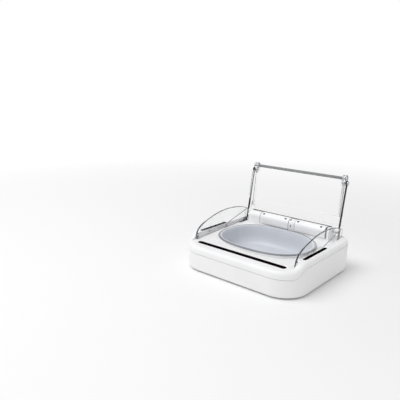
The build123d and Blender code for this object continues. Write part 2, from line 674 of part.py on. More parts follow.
with BuildPart() as lid_rear_panel:
    with BuildSketch(REAR_FRAME.offset(-PANEL_HALF_WIDTH)):
        with Locations(((REAR_PANEL_START + REAR_PANEL_END) / 2, -REAR_PANEL_OFFSET)):
            Rectangle(REAR_PANEL_END - REAR_PANEL_START, PANEL_THICKNESS)
    extrude(amount=2 * PANEL_HALF_WIDTH)
    with BuildSketch(REAR_FRAME.offset(-KNOB_SPLIT_X - 0.1)):
        with Locations((FOLD_IN_REAR[0], -REAR_PANEL_OFFSET)):
            Rectangle(2 * REAR_NOTCH, 8)
    extrude(amount=KNOB_SPLIT_X - KNOB_INNER_X + 0.5, mode=Mode.SUBTRACT)
    with BuildSketch(REAR_FRAME.offset(KNOB_INNER_X - 0.4)):
        with Locations((FOLD_IN_REAR[0], -REAR_PANEL_OFFSET)):
            Rectangle(2 * REAR_NOTCH, 8)
    extrude(amount=KNOB_SPLIT_X - KNOB_INNER_X + 0.5, mode=Mode.SUBTRACT)
    for x in (-PANEL_HALF_WIDTH, KNOB_SPLIT_X + 0.1):
        with BuildSketch(REAR_FRAME.offset(x)):
            with Locations(FOLD_IN_REAR):
                Circle(KNOB_RADIUS)
        extrude(amount=PANEL_HALF_WIDTH - KNOB_SPLIT_X - 0.1)
    for x in (-PANEL_HALF_WIDTH, PANEL_HALF_WIDTH - 3.9):
        with BuildSketch(REAR_FRAME.offset(x)):
            Circle(KNOB_RADIUS)
            with Locations((REAR_PANEL_START + 1, -REAR_PANEL_OFFSET), (REAR_PANEL_START + 16, -REAR_PANEL_OFFSET)):
                Circle(PANEL_THICKNESS / 2)
            make_hull()
        extrude(amount=3.9)
    with BuildSketch(REAR_FRAME.offset(-REACH)):
        Circle(SHAFT_RADIUS)
        with Locations(FOLD_IN_REAR):
            Circle(PIN_RADIUS)
    extrude(amount=2 * REACH, mode=Mode.SUBTRACT)
lid_rear_panel.part.label = "lid_rear_panel"
export_step(lid_rear_panel.part, "parts/lid_rear_panel.step")

# Front lid panel: plate in front of the fold, inner fold knobs with an ear for the link's pin

FRONT_FRAME = side_plane(FOLD, FRONT_PANEL_ANGLE)

with BuildPart() as lid_front_panel:
    with BuildSketch(FRONT_FRAME.offset(-PANEL_HALF_WIDTH)):
        with Locations((FRONT_PANEL_LENGTH / 2 + 0.5, -FRONT_PANEL_OFFSET)):
            Rectangle(FRONT_PANEL_LENGTH - 1.0, PANEL_THICKNESS)
    extrude(amount=2 * PANEL_HALF_WIDTH)
    for x in (-PANEL_HALF_WIDTH - 1, KNOB_SPLIT_X):
        with BuildSketch(FRONT_FRAME.offset(x)):
            with Locations((0, -FRONT_PANEL_OFFSET)):
                Rectangle(2 * KNOB_RADIUS + 2, 8)
        extrude(amount=PANEL_HALF_WIDTH - KNOB_SPLIT_X + 1, mode=Mode.SUBTRACT)
    for x in (-KNOB_SPLIT_X, KNOB_INNER_X):
        with BuildSketch(FRONT_FRAME.offset(x)):
            Circle(KNOB_RADIUS)
            with Locations(LINK_PIN_IN_FRONT):
                Circle(3.0)
            with Locations((LINK_PIN_DISTANCE + 8, -FRONT_PANEL_OFFSET)):
                Circle(PANEL_THICKNESS / 2)
            make_hull()
        extrude(amount=KNOB_SPLIT_X - KNOB_INNER_X)
    with BuildSketch(FRONT_FRAME.offset(-REACH)):
        Circle(PIN_RADIUS + RUNNING_GAP)
        with Locations(LINK_PIN_IN_FRONT):
            Circle(PIN_RADIUS)
    extrude(amount=2 * REACH, mode=Mode.SUBTRACT)
lid_front_panel.part.label = "lid_front_panel"
export_step(lid_front_panel.part, "parts/lid_front_panel.step")

# Rubber bar along the fold, and the fold's two pins

with BuildPart() as fold_seal:
    with BuildSketch(FRONT_FRAME.offset(-KNOB_INNER_X + 0.4)):
        Circle(2.6)
    extrude(amount=2 * (KNOB_INNER_X - 0.4))
fold_seal.part.label = "fold_seal"
export_step(fold_seal.part, "parts/fold_seal.step")

with BuildPart() as fold_pins:
    for x in (-PANEL_HALF_WIDTH - 0.5, KNOB_INNER_X):
        with BuildSketch(FRONT_FRAME.offset(x)):
            Circle(PIN_RADIUS)
        extrude(amount=PANEL_HALF_WIDTH + 0.5 - KNOB_INNER_X)
fold_pins.part.label = "fold_pins"
export_step(fold_pins.part, "parts/fold_pins.step")

# Dark links beside the lid, their pins on the front panel and their fixed pivots

LINK_VECTOR = (LINK_PIN[0] - LINK_PIVOT[0], LINK_PIN[1] - LINK_PIVOT[1])
LINK_ANGLE = math.degrees(math.atan2(LINK_VECTOR[1], LINK_VECTOR[0])) + LINK_LEAD
LINK_FRAME = side_plane(LINK_PIVOT, LINK_ANGLE)
LINK_EYE_HOLE = PIN_RADIUS + LINK_SLACK
LINK_EYE_RADIUS = LINK_EYE_HOLE + 1.8

for side, name in ((-1, "lid_link_left"), (1, "lid_link_right")):
    link_x = LINK_INNER_X if side > 0 else -LINK_INNER_X - LINK_THICKNESS
    with BuildPart() as lid_link:
        with BuildSketch(LINK_FRAME.offset(link_x)):
            with Locations((LINK_LENGTH / 2, 0)):
                Rectangle(LINK_LENGTH, 4.0)
            Circle(3.8)
            with Locations((LINK_LENGTH, 0)):
                Circle(LINK_EYE_RADIUS)
                Circle(LINK_EYE_HOLE, mode=Mode.SUBTRACT)
            Circle(PIN_RADIUS + RUNNING_GAP, mode=Mode.SUBTRACT)
        extrude(amount=LINK_THICKNESS)
    lid_link.part.label = name
    export_step(lid_link.part, f"parts/{name}.step")

with BuildPart() as link_pin_right:
    with BuildSketch(FRONT_FRAME.offset(KNOB_INNER_X)):
        with Locations(LINK_PIN_IN_FRONT):
            Circle(PIN_RADIUS)
    extrude(amount=LINK_INNER_X + LINK_THICKNESS + 1 - KNOB_INNER_X)
    with BuildSketch(FRONT_FRAME.offset(LINK_INNER_X + LINK_THICKNESS + 0.2)):
        with Locations(LINK_PIN_IN_FRONT):
            Circle(LINK_EYE_HOLE + 0.9)
    extrude(amount=0.9)

with BuildPart() as link_pins:
    add(link_pin_right.part)
    mirror(link_pin_right.part, about=Plane.YZ)
link_pins.part.label = "link_pins"
export_step(link_pins.part, "parts/link_pins.step")

with BuildPart() as link_pivot_right:
    with BuildSketch(LINK_FRAME.offset(LINK_INNER_X - 0.6)):
        Circle(PIN_RADIUS)
    extrude(amount=GUARD_INNER_X + GUARD_THICKNESS - LINK_INNER_X + 0.6)
    with BuildSketch(LINK_FRAME.offset(LINK_INNER_X - 0.2)):
        Circle(2.8)
    extrude(amount=-0.6)

with BuildPart() as link_pivots:
    add(link_pivot_right.part)
    mirror(link_pivot_right.part, about=Plane.YZ)
link_pivots.part.label = "link_pivots"
export_step(link_pivots.part, "parts/link_pivots.step")

# Four C cells in a row, their springs, contacts and the two doors below

CELL_STARTS = (-2 * CELL_LENGTH - 1.5, -CELL_LENGTH - 1.4, 2.7, CELL_LENGTH + 2.8)

with BuildPart() as battery_cells:
    for x in CELL_STARTS:
        with BuildSketch(Plane.YZ.offset(x)):
            with Locations((CELL_Y, CELL_Z)):
                Circle(CELL_RADIUS)
        extrude(amount=CELL_LENGTH - 1.6)
        with BuildSketch(Plane.YZ.offset(x + CELL_LENGTH - 1.6)):
            with Locations((CELL_Y, CELL_Z)):
                Circle(3.2)
        extrude(amount=1.5)
battery_cells.part.label = "battery_cells"
export_step(battery_cells.part, "parts/battery_cells.step")

with BuildPart() as battery_contacts:
    for x in (-BAY_HALF_LENGTH, -1.4, 1.0, BAY_HALF_LENGTH - 0.4):
        with BuildSketch(Plane.YZ.offset(x)):
            with Locations((CELL_Y, CELL_Z)):
                Rectangle(16.0, 18.0)
        extrude(amount=0.4)
battery_contacts.part.label = "battery_contacts"
export_step(battery_contacts.part, "parts/battery_contacts.step")

with BuildPart() as battery_springs:
    for x in (-BAY_HALF_LENGTH + 0.4, 1.4):
        with BuildSketch(Plane.YZ.offset(x)):
            with Locations((CELL_Y, CELL_Z)):
                Circle(6.0)
                Circle(4.6, mode=Mode.SUBTRACT)
        extrude(amount=1.25)
battery_springs.part.label = "battery_springs"
export_step(battery_springs.part, "parts/battery_springs.step")

with BuildPart() as battery_door_left:
    with BuildSketch(Plane.YZ.offset(-BAY_HALF_LENGTH + 0.3)):
        with Locations(((BAY_FRONT_Y + BAY_BACK_Y) / 2 - 0.5, FOOT_HEIGHT + DOOR_THICKNESS / 2)):
            Rectangle(BAY_BACK_Y - BAY_FRONT_Y - 1.6, DOOR_THICKNESS)
        with Locations((BAY_BACK_Y - 1.4, FOOT_HEIGHT + DOOR_THICKNESS / 2)):
            Circle(DOOR_THICKNESS / 2)
    extrude(amount=BAY_HALF_LENGTH - 1.6)
battery_door_left.part.label = "battery_door_left"
export_step(battery_door_left.part, "parts/battery_door_left.step")

with BuildPart() as battery_door_right:
    mirror(battery_door_left.part, about=Plane.YZ)
battery_door_right.part.label = "battery_door_right"
export_step(battery_door_right.part, "parts/battery_door_right.step")

# Boards, diodes and buttons

with BuildPart() as control_board:
    with BuildSketch(Plane.XY.offset(CONTROL_BOARD_Z)):
        with Locations((0, -82.5)):
            Rectangle(176.0, 22.0)
    extrude(amount=BOARD_THICKNESS)
    with BuildSketch(Plane.XY.offset(CONTROL_BOARD_Z - 1.4)):
        with Locations((-30, -84)):
            Rectangle(12, 12)
        with Locations((20, -84)):
            Rectangle(18, 8)
    extrude(amount=1.4)
control_board.part.label = "control_board"
export_step(control_board.part, "parts/control_board.step")

with BuildPart() as sensor_boards:
    with BuildSketch(Plane.XY.offset(SENSOR_BOARD_Z)):
        with Locations((-SIDE_WINDOW_X - 1.0, SIDE_WINDOW_Y), (SIDE_WINDOW_X + 1.0, SIDE_WINDOW_Y)):
            Rectangle(3.0, 60.0)
    extrude(amount=BOARD_THICKNESS)
sensor_boards.part.label = "sensor_boards"
export_step(sensor_boards.part, "parts/sensor_boards.step")

with BuildPart() as sensor_diodes:
    with BuildSketch(Plane.XY.offset(CONTROL_BOARD_Z + BOARD_THICKNESS)):
        with Locations((0, FRONT_WINDOW_Y)):
            with GridLocations(30.0, 1.0, 6, 1):
                Circle(2.0)
    extrude(amount=5.0)
    with BuildSketch(Plane.XY.offset(SENSOR_BOARD_Z + BOARD_THICKNESS)):
        for x in (-SIDE_WINDOW_X - 0.6, SIDE_WINDOW_X + 0.6):
            with Locations((x, SIDE_WINDOW_Y)):
                with GridLocations(1.0, 24.0, 1, 3):
                    Circle(1.5)
    extrude(amount=6.5)
sensor_diodes.part.label = "sensor_diodes"
export_step(sensor_diodes.part, "parts/sensor_diodes.step")

for x, name in ((-BUTTON_X, "open_button"), (BUTTON_X, "training_button")):
    with BuildPart() as button:
        with BuildSketch(Plane.XZ.offset(-DEPTH / 2 + 0.4)):
            with Locations((x, BUTTON_Z)):
                Circle(BUTTON_RADIUS)
        extrude(amount=WALL + 1.6)
        with BuildSketch(Plane.XZ.offset(-DEPTH / 2 + WALL + 0.1)):
            with Locations((x, BUTTON_Z)):
                Circle(BUTTON_RADIUS + 1.5)
        extrude(amount=1.2)
    button.part.label = name
    export_step(button.part, f"parts/{name}.step")

with BuildPart() as button_board:
    with BuildSketch(Plane.XZ.offset(-BUTTON_BOARD_Y)):
        with Locations((0, BUTTON_Z)):
            Rectangle(48.0, 10.0)
    extrude(amount=BOARD_THICKNESS)
    with BuildSketch(Plane.XZ.offset(-BUTTON_BOARD_Y)):
        with Locations((-BUTTON_X, BUTTON_Z), (BUTTON_X, BUTTON_Z)):
            Rectangle(6.0, 6.0)
    extrude(amount=-3.5)
button_board.part.label = "button_board"
export_step(button_board.part, "parts/button_board.step")

# Housing screws and rubber feet

with BuildPart() as housing_screws:
    with BuildSketch(Plane.XY.offset(FOOT_HEIGHT + SCREW_RECESS_DEPTH)):
        with Locations(*SCREW_PLACES):
            Circle(SCREW_RADIUS)
    extrude(amount=30.0)
    with BuildSketch(Plane.XY.offset(FOOT_HEIGHT + 1.0)):
        with Locations(*SCREW_PLACES):
            Circle(SCREW_HEAD_RADIUS)
    extrude(amount=2.0)
housing_screws.part.label = "housing_screws"
export_step(housing_screws.part, "parts/housing_screws.step")

with BuildPart() as rubber_feet:
    with BuildSketch():
        with Locations((-82, -80), (82, -80)):
            Circle(7.0)
        with Locations((-62, 95.9), (62, 95.9)):
            SlotOverall(26.0, 4.4)
    extrude(amount=FOOT_HEIGHT)
rubber_feet.part.label = "rubber_feet"
export_step(rubber_feet.part, "parts/rubber_feet.step")
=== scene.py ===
"""Looks of a pet food bowl with a folding clear lid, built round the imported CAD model.

Every place is in the model's own frame: origin in the middle of the footprint on the floor,
X to the right, Y to the rear and Z up. Sizes are in millimetres here and become metres through MM.
"""

import logging
import math
from dataclasses import dataclass
from enum import Enum
from functools import cache
from typing import Sequence

import bmesh
import bpy
from mathutils import Matrix, Vector


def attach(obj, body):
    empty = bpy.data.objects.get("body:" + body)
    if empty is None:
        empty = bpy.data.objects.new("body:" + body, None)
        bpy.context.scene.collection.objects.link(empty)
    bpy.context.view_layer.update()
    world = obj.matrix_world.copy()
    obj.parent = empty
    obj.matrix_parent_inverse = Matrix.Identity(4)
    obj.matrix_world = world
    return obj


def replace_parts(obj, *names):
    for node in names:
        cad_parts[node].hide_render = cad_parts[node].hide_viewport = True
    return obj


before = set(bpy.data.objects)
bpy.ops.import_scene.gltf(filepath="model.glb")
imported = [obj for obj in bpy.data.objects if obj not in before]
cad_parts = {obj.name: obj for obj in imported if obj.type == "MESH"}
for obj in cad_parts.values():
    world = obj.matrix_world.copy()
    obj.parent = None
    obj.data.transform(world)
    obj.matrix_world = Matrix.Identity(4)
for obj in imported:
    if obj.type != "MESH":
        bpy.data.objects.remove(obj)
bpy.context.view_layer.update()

log = logging.getLogger("food_bowl")

MM = 0.001

Pair = tuple[float, float]
Point = tuple[float, float, float]
Socket = bpy.types.NodeSocket
Tree = bpy.types.NodeTree
Shape = bmesh.types.BMesh
Ring = list[bmesh.types.BMVert]

# The range that Blender's noise keeps to for the most part.
NOISE_RANGE = (0.3, 0.7)

# Doubled vertices are joined below this distance, and edges turn smooth or rounded at these angles.
JOIN_MM = 0.002
SMOOTH_BELOW_DEG = 35
ROUND_ABOVE_DEG = 40


class Side(Enum):
    """The two sides of the bowl, as the sign of X."""

    LEFT = -1
    RIGHT = 1

    @property
    def label(self) -> str:
        """Gives the side's name as the names of pieces have it."""
        return self.name.lower()


class Slot(Enum):
    """Names of the record's material slots; nothing here uses them."""

    COVER = "cover_white"
    CLEAR = "clear_plastic"
    DARK = "window_black"
    BOWL = "bowl_grey"
    HOUSING = "housing_white"
    STEEL = "steel"
    SEAL = "seal_grey"
    BUTTON = "button_grey"


def linear(hex_colour: str) -> tuple[float, float, float, float]:
    """Turns an sRGB hex colour into linear RGBA.

    Args:
        hex_colour: Six hex digits, with or without a leading #.

    Returns:
        The linear colour with an alpha of 1.
    """
    digits = hex_colour.lstrip("#")
    channels = [int(digits[i:i + 2], 16) / 255 for i in (0, 2, 4)]
    lit = [c / 12.92 if c <= 0.04045 else ((c + 0.055) / 1.055) ** 2.4 for c in channels]
    return (lit[0], lit[1], lit[2], 1.0)


def add_node(
    tree: Tree,
    kind: str,
    settings: dict[str, object] | None = None,
    links: dict[str | int, Socket] | None = None,
) -> bpy.types.Node:
    """Adds one node with its settings and links.

    Args:
        tree: The material's, world's or modifier's node tree.
        kind: Blender's name of the node type.
        settings: Input names or node properties, and their values.
        links: Input names or numbers, and the output sockets that feed them.

    Returns:
        The new node.
    """
    node = tree.nodes.new(kind)
    for key, value in (settings or {}).items():
        if hasattr(node, key):
            setattr(node, key, value)
        else:
            node.inputs[key].default_value = value
    for key, source in (links or {}).items():
        tree.links.new(source, node.inputs[key])
    return node


def blank_material(name: str) -> tuple[bpy.types.Material, Tree]:
    """Makes a material with an empty node tree.

    Args:
        name: The material's name.

    Returns:
        The material and its tree.
    """
    material = bpy.data.materials.new(name)
    material.use_nodes = True
    material.node_tree.nodes.clear()
    return material, material.node_tree


def add_shader(tree: Tree, settings: dict[str, object], links: dict[str | int, Socket]) -> None:
    """Adds the material's shader and its output.

    Args:
        tree: The material's tree.
        settings: Input names of the shader and their values.
        links: Input names, and the output sockets that feed them.
    """
    shader = add_node(tree, "ShaderNodeBsdfPrincipled", settings, links)
    add_node(tree, "ShaderNodeOutputMaterial", {}, {"Surface": shader.outputs["BSDF"]})


def noise(tree: Tree, size_mm: float, stretch: Point = (1.0, 1.0, 1.0)) -> Socket:
    """Adds a noise pattern in the model's own space.

    Args:
        tree: The material's tree.
        size_mm: The size of its spots.
        stretch: Scale along each axis, below 1 for spots drawn out along it.

    Returns:
        The pattern's output, which mostly keeps to NOISE_RANGE.
    """
    place = add_node(tree, "ShaderNodeTexCoord").outputs["Object"]
    drawn = add_node(tree, "ShaderNodeMapping", {"Scale": stretch}, {"Vector": place})
    settings = {"Scale": 1 / (size_mm * MM), "Detail": 2.0}
    return add_node(tree, "ShaderNodeTexNoise", settings, {"Vector": drawn.outputs["Vector"]}).outputs["Fac"]


def spread(tree: Tree, source: Socket, low: float, high: float) -> Socket:
    """Maps a noise pattern onto a range.

    Args:
        tree: The material's tree.
        source: The pattern's output.
        low: The value at the pattern's dark end.
        high: The value at its bright end.

    Returns:
        The mapped output.
    """
    settings = {"From Min": NOISE_RANGE[0], "From Max": NOISE_RANGE[1], "To Min": low, "To Max": high}
    return add_node(tree, "ShaderNodeMapRange", settings, {"Value": source}).outputs["Result"]


def two_tone(tree: Tree, pattern: Socket, first: str, second: str) -> Socket:
    """Blends two colours by a noise pattern.

    Args:
        tree: The material's tree.
        pattern: The pattern's output.
        first: Hex colour at its dark end.
        second: Hex colour at its bright end.

    Returns:
        The colour's output.
    """
    node = add_node(tree, "ShaderNodeMix", {"data_type": "RGBA"}, {"Factor": spread(tree, pattern, 0.0, 1.0)})
    node.inputs[6].default_value = linear(first)
    node.inputs[7].default_value = linear(second)
    return node.outputs[2]


@dataclass(frozen=True)
class MouldedPlastic:
    """Injection-moulded plastic or rubber with the fine spark-eroded grain of its tool."""

    name: str
    colour: str
    shade: str
    roughness: float = 0.38
    ior: float = 1.53
    gloss: float = 0.5
    grain_mm: float = 0.45
    grain_depth_mm: float = 0.012
    grain_strength: float = 0.6
    flow_mm: float = 38.0
    drift: float = 0.03

    def build(self) -> bpy.types.Material:
        """Builds the material: grain in the bump, a slow drift of tone and gloss from the flow of the melt.

        Returns:
            The material.
        """
        material, tree = blank_material(self.name)
        flow = noise(tree, self.flow_mm)
        depth = {"Strength": self.grain_strength, "Distance": self.grain_depth_mm * MM}
        bump = add_node(tree, "ShaderNodeBump", depth, {"Height": noise(tree, self.grain_mm)})
        links = {
            "Base Color": two_tone(tree, flow, self.colour, self.shade),
            "Roughness": spread(tree, flow, self.roughness - self.drift, self.roughness + self.drift),
            "Normal": bump.outputs["Normal"],
        }
        add_shader(tree, {"IOR": self.ior, "Specular IOR Level": self.gloss}, links)
        return material


@dataclass(frozen=True)
class ClearPlastic:
    """Moulded clear sheet, water-white through its face, dark and bright lines along its edges."""

    name: str
    tint: str
    roughness: float = 0.02
    ior: float = 1.45
    ripple_mm: float = 26.0
    ripple_depth_mm: float = 0.02
    ripple_strength: float = 0.2

    def build(self) -> bpy.types.Material:
        """Builds the material: refraction, with the slight ripple that a moulded sheet shows in its gloss.

        Returns:
            The material.
        """
        material, tree = blank_material(self.name)
        depth = {"Strength": self.ripple_strength, "Distance": self.ripple_depth_mm * MM}
        bump = add_node(tree, "ShaderNodeBump", depth, {"Height": noise(tree, self.ripple_mm)})
        settings = {
            "Base Color": linear(self.tint),
            "Roughness": self.roughness,
            "IOR": self.ior,
            "Transmission Weight": 1.0,
        }
        add_shader(tree, settings, {"Normal": bump.outputs["Normal"]})
        return material


@dataclass(frozen=True)
class DrawnMetal:
    """Drawn, rolled or turned metal with fine lines along X from its making."""

    name: str
    colour: str
    shade: str
    roughness: float = 0.32
    line_mm: float = 0.25
    line_stretch: Point = (0.04, 1.0, 1.0)
    drift: float = 0.06

    def build(self) -> bpy.types.Material:
        """Builds the material: lines drawn out along X in its tone and gloss.

        Returns:
            The material.
        """
        material, tree = blank_material(self.name)
        lines = noise(tree, self.line_mm, self.line_stretch)
        links = {
            "Base Color": two_tone(tree, lines, self.colour, self.shade),
            "Roughness": spread(tree, lines, self.roughness - self.drift, self.roughness + self.drift),
        }
        add_shader(tree, {"Metallic": 1.0}, links)
        return material


Finish = MouldedPlastic | ClearPlastic | DrawnMetal

# Rows of CAD nodes, their finish and the radius of their moulded edges in millimetres.
Looks = Sequence[tuple[Sequence[str], Finish, float]]


# ABS, moulded in a finely eroded tool: a soft satin white with no visible grain from a metre away.
HOUSING_ABS = MouldedPlastic("abs_moulded_satin_white", "F6F6F7", "F2F2F3", roughness=0.40, ior=1.53)

# ABS from a polished tool: the same white with a brighter, rounder highlight along the hinge.
COVER_ABS = MouldedPlastic("abs_moulded_gloss_white", "F8F8F9", "F3F4F5", roughness=0.24,
                           grain_depth_mm=0.003)

# Polypropylene: a bluish light grey with a waxy, slightly soft gloss.
BOWL_PP = MouldedPlastic("polypropylene_moulded_grey", "D5D8DF", "CED2D9", roughness=0.30,
                         grain_depth_mm=0.004)

# The same plastic on the rim, coloured a deeper grey: painted shade for the rim where it turns down and
# thickens.
RIM_PP_PAINTED_SHADE = MouldedPlastic("polypropylene_moulded_rim", "888C93", "80848B", roughness=0.34, grain_depth_mm=0.004)

# The bar along the fold is a firmer extrusion: mid grey, with a soft line of light along its top.
BAR_TPE = MouldedPlastic("elastomer_extruded_light_grey", "888A8C", "818385", roughness=0.5, ior=1.5)

# Thermoplastic elastomer, matt grey. In the seams it is painted shade: a grey cord that draws each shadow gap
# as a soft line. It also colours the guards' ribs and toes.
GREY_TPE_AND_SEAM_SHADE = MouldedPlastic("elastomer_grey_and_seam_shade", "8C8F92", "838689", roughness=0.6, ior=1.5)

# Infrared-passing acrylic: looks plain black, and its etched top gives nothing back of the white room. The
# same black also fills the hinge clip's slot as painted shade.
WINDOW_PMMA = MouldedPlastic("acrylic_etched_infrared_black", "120A0C", "0C0607", roughness=0.45, ior=1.49,
                             gloss=0.0, grain_mm=0.3)

# Silicone: matt mid grey with a dusty bloom.
SEAL_SILICONE = MouldedPlastic("silicone_moulded_grey", "8A8F92", "7F8487", roughness=0.5, ior=1.41)

# Rubber: dull near-black.
FOOT_RUBBER = MouldedPlastic("rubber_moulded_black", "2A2A2A", "222222", roughness=0.75, ior=1.52,
                             grain_depth_mm=0.03)

# Acetal: slippery, creamy white.
GEAR_ACETAL = MouldedPlastic("acetal_moulded_natural", "ECEAE2", "E4E2D8", roughness=0.33, ior=1.48)

# ABS keycap: neutral grey satin.
BUTTON_ABS = MouldedPlastic("abs_moulded_grey", "8E9296", "868A8E", roughness=0.4)

# Glass-epoxy board under solder resist: glossy deep green.
BOARD_RESIST = MouldedPlastic("glass_epoxy_resist_green", "1F6B3E", "185833", roughness=0.28, ior=1.55,
                              grain_mm=0.8)

# Shrink film round a dry cell: smooth, dark and glossy, with nothing printed on it.
CELL_FILM = MouldedPlastic("shrink_film_dark_grey", "3B3F45", "2E3136", roughness=0.2, ior=1.57,
                           grain_depth_mm=0.002)

# Polycarbonate from a polished tool: the face all but vanishes and only the edges draw.
CLEAR_PC = ClearPlastic("polycarbonate_moulded_clear", "FFFFFF")

# The same polycarbonate tinted grey for rims, lips, beads and knob rings: painted shade that stands in for
# the dark lines refraction draws along each sheet's edge.
EDGE_PC_PAINTED_SHADE = ClearPlastic("polycarbonate_rim_grey", "A3A9AD", roughness=0.05)

# Stainless steel wire and pressings: bright, with drawing lines.
STEEL_DRAWN = DrawnMetal("stainless_steel_drawn", "C8C9CB", "A8A9AC")

# Blackened steel strip: dark grey with a dull sheen.
STEEL_BLACK = DrawnMetal("steel_strip_blackened", "3A3B3D", "2A2B2D", roughness=0.38)


@cache
def finish(kind: Finish) -> bpy.types.Material:
    """Gives the one material of a finish, made the first time that it is asked for.

    Args:
        kind: The finish.

    Returns:
        Its material.
    """
    return kind.build()


def smooth_group() -> Tree:
    """Makes a modifier tree that joins doubled vertices and shades gentle edges smooth.

    Returns:
        The geometry node tree.
    """
    tree = bpy.data.node_groups.new("joined_and_smooth", "GeometryNodeTree")
    tree.interface.new_socket("Geometry", in_out="INPUT", socket_type="NodeSocketGeometry")
    tree.interface.new_socket("Geometry", in_out="OUTPUT", socket_type="NodeSocketGeometry")
    source = add_node(tree, "NodeGroupInput").outputs["Geometry"]
    merged = add_node(tree, "GeometryNodeMergeByDistance", {"Distance": JOIN_MM * MM}, {"Geometry": source})
    angle = add_node(tree, "GeometryNodeInputMeshEdgeAngle")
    gentle = add_node(
        tree,
        "FunctionNodeCompare",
        {"data_type": "FLOAT", "operation": "LESS_THAN"},
        {"A": angle.outputs["Unsigned Angle"]},
    )
    gentle.inputs["B"].default_value = math.radians(SMOOTH_BELOW_DEG)
    faces = add_node(
        tree, "GeometryNodeSetShadeSmooth", {"domain": "FACE"}, {"Geometry": merged.outputs["Geometry"]}
    )
    edges = add_node(
        tree,
        "GeometryNodeSetShadeSmooth",
        {"domain": "EDGE"},
        {"Geometry": faces.outputs["Geometry"], "Shade Smooth": gentle.outputs["Result"]},
    )
    add_node(tree, "NodeGroupOutput", {}, {"Geometry": edges.outputs["Geometry"]})
    return tree


SMOOTH = smooth_group()


def coat(obj: bpy.types.Object, kind: Finish, edge_mm: float) -> None:
    """Gives an object its finish, and rounds its edges through modifiers, so its mesh stays as it is.

    Args:
        obj: The object. It casts no shadow where it is clear.
        kind: Its finish.
        edge_mm: The radius of its moulded edges, or 0 to leave them.
    """
    obj.data.materials.clear()
    obj.data.materials.append(finish(kind))
    obj.visible_shadow = not isinstance(kind, ClearPlastic)
    joined = obj.modifiers.new("joined", "NODES")
    joined.node_group = SMOOTH
    if edge_mm:
        bevel = obj.modifiers.new("soft_edges", "BEVEL")
        bevel.width = edge_mm * MM
        bevel.segments = 2
        bevel.limit_method = "ANGLE"
        bevel.angle_limit = math.radians(ROUND_ABOVE_DEG)


def add_piece(
    name: str, shape: Shape, kind: Finish, body: str, edge_mm: float = 0.0
) -> bpy.types.Object:
    """Turns a shape into a piece of the object that moves with a body.

    Args:
        name: The piece's name.
        shape: Its shape in millimetres, which is used up.
        kind: Its finish.
        body: The CAD body it rides on.
        edge_mm: The radius of its edges, or 0 to leave them.

    Returns:
        The piece.
    """
    bmesh.ops.recalc_face_normals(shape, faces=shape.faces)
    bmesh.ops.scale(shape, vec=(MM, MM, MM), verts=shape.verts)
    mesh = bpy.data.meshes.new(name)
    shape.to_mesh(mesh)
    shape.free()
    piece = bpy.data.objects.new(name, mesh)
    bpy.context.scene.collection.objects.link(piece)
    coat(piece, kind, edge_mm)
    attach(piece, body)
    log.info("%s: %s, on %s", name, kind.name, body)
    return piece


def add_skin(shape: Shape, first: Ring, second: Ring, shift: int = 0) -> None:
    """Joins two rings of as many vertices by a band of faces.

    Args:
        shape: The shape.
        first: The first ring.
        second: The second ring.
        shift: How many vertices the second ring is turned ahead of the first.
    """
    count = len(first)
    for i in range(count):
        j = (i + 1) % count
        shape.faces.new((first[i], first[j], second[(j + shift) % count], second[(i + shift) % count]))


def add_circle(shape: Shape, middle: Vector, across: Vector, up: Vector, radius: float, sides: int) -> Ring:
    """Adds the vertices of a circle to a shape.

    Args:
        shape: The shape.
        middle: The circle's middle.
        across: A unit direction in its plane.
        up: The other one, square to it.
        radius: Its radius.
        sides: The number of vertices.

    Returns:
        The vertices.
    """
    turns = [2 * math.pi * k / sides for k in range(sides)]
    return [shape.verts.new(middle + radius * (math.cos(t) * across + math.sin(t) * up)) for t in turns]


def add_prism(shape: Shape, outline: Sequence[Pair], x_from: float, x_to: float) -> None:
    """Adds a prism along X to a shape.

    Args:
        shape: The shape.
        outline: The (y, z) points of its outline.
        x_from: Where it starts.
        x_to: Where it ends.
    """
    ends = [[shape.verts.new((x, y, z)) for y, z in outline] for x in (x_from, x_to)]
    shape.faces.new(ends[0])
    shape.faces.new(ends[1])
    add_skin(shape, ends[0], ends[1])


def add_tube(
    shape: Shape, path: Sequence[Point], radius: float, sides: int = 10, closed: bool = False
) -> None:
    """Adds a round bar along a path to a shape. An open path ends in flat faces.

    Args:
        shape: The shape.
        path: The points of its middle line.
        radius: The bar's radius.
        sides: The number of faces round it.
        closed: Whether its last point joins its first.
    """
    line = [Vector(p) for p in path]
    count = len(line)
    rings = []
    across = None
    for i, point in enumerate(line):
        before = line[i - 1] if closed or i else point
        after = line[(i + 1) % count] if closed or i + 1 < count else point
        ahead = (after - before).normalized()
        if across is None:
            across = ahead.orthogonal().normalized()
        across = (across - ahead * across.dot(ahead)).normalized()
        rings.append(add_circle(shape, point, across, ahead.cross(across), radius, sides))
    for i in range(count if closed else count - 1):
        first = rings[i]
        second = rings[(i + 1) % count]
        shift = 0
        if closed and i == count - 1:
            shift = min(range(sides), key=lambda s: (first[0].co - second[s].co).length)
        add_skin(shape, first, second, shift)
    if not closed:
        shape.faces.new(rings[0])
        shape.faces.new(rings[-1])


def add_turned(
    shape: Shape,
    profile: Sequence[Pair],
    start: Point,
    axis: Point,
    sides: int,
    open_end: bool = False,
) -> Ring:
    """Adds a turned form to a shape.

    Args:
        shape: The shape.
        profile: Pairs of distance along the axis and radius.
        start: Where the axis starts.
        axis: Its direction.
        sides: The number of faces round it.
        open_end: Whether the last ring is left open.

    Returns:
        The vertices of the last ring.
    """
    ahead = Vector(axis).normalized()
    across = ahead.orthogonal().normalized()
    up = ahead.cross(across)
    rings = []
    for along, radius in profile:
        rings.append(add_circle(shape, Vector(start) + along * ahead, across, up, radius, sides))
    for first, second in zip(rings, rings[1:]):
        add_skin(shape, first, second)
    shape.faces.new(rings[0])
    if not open_end:
        shape.faces.new(rings[-1])
    return rings[-1]


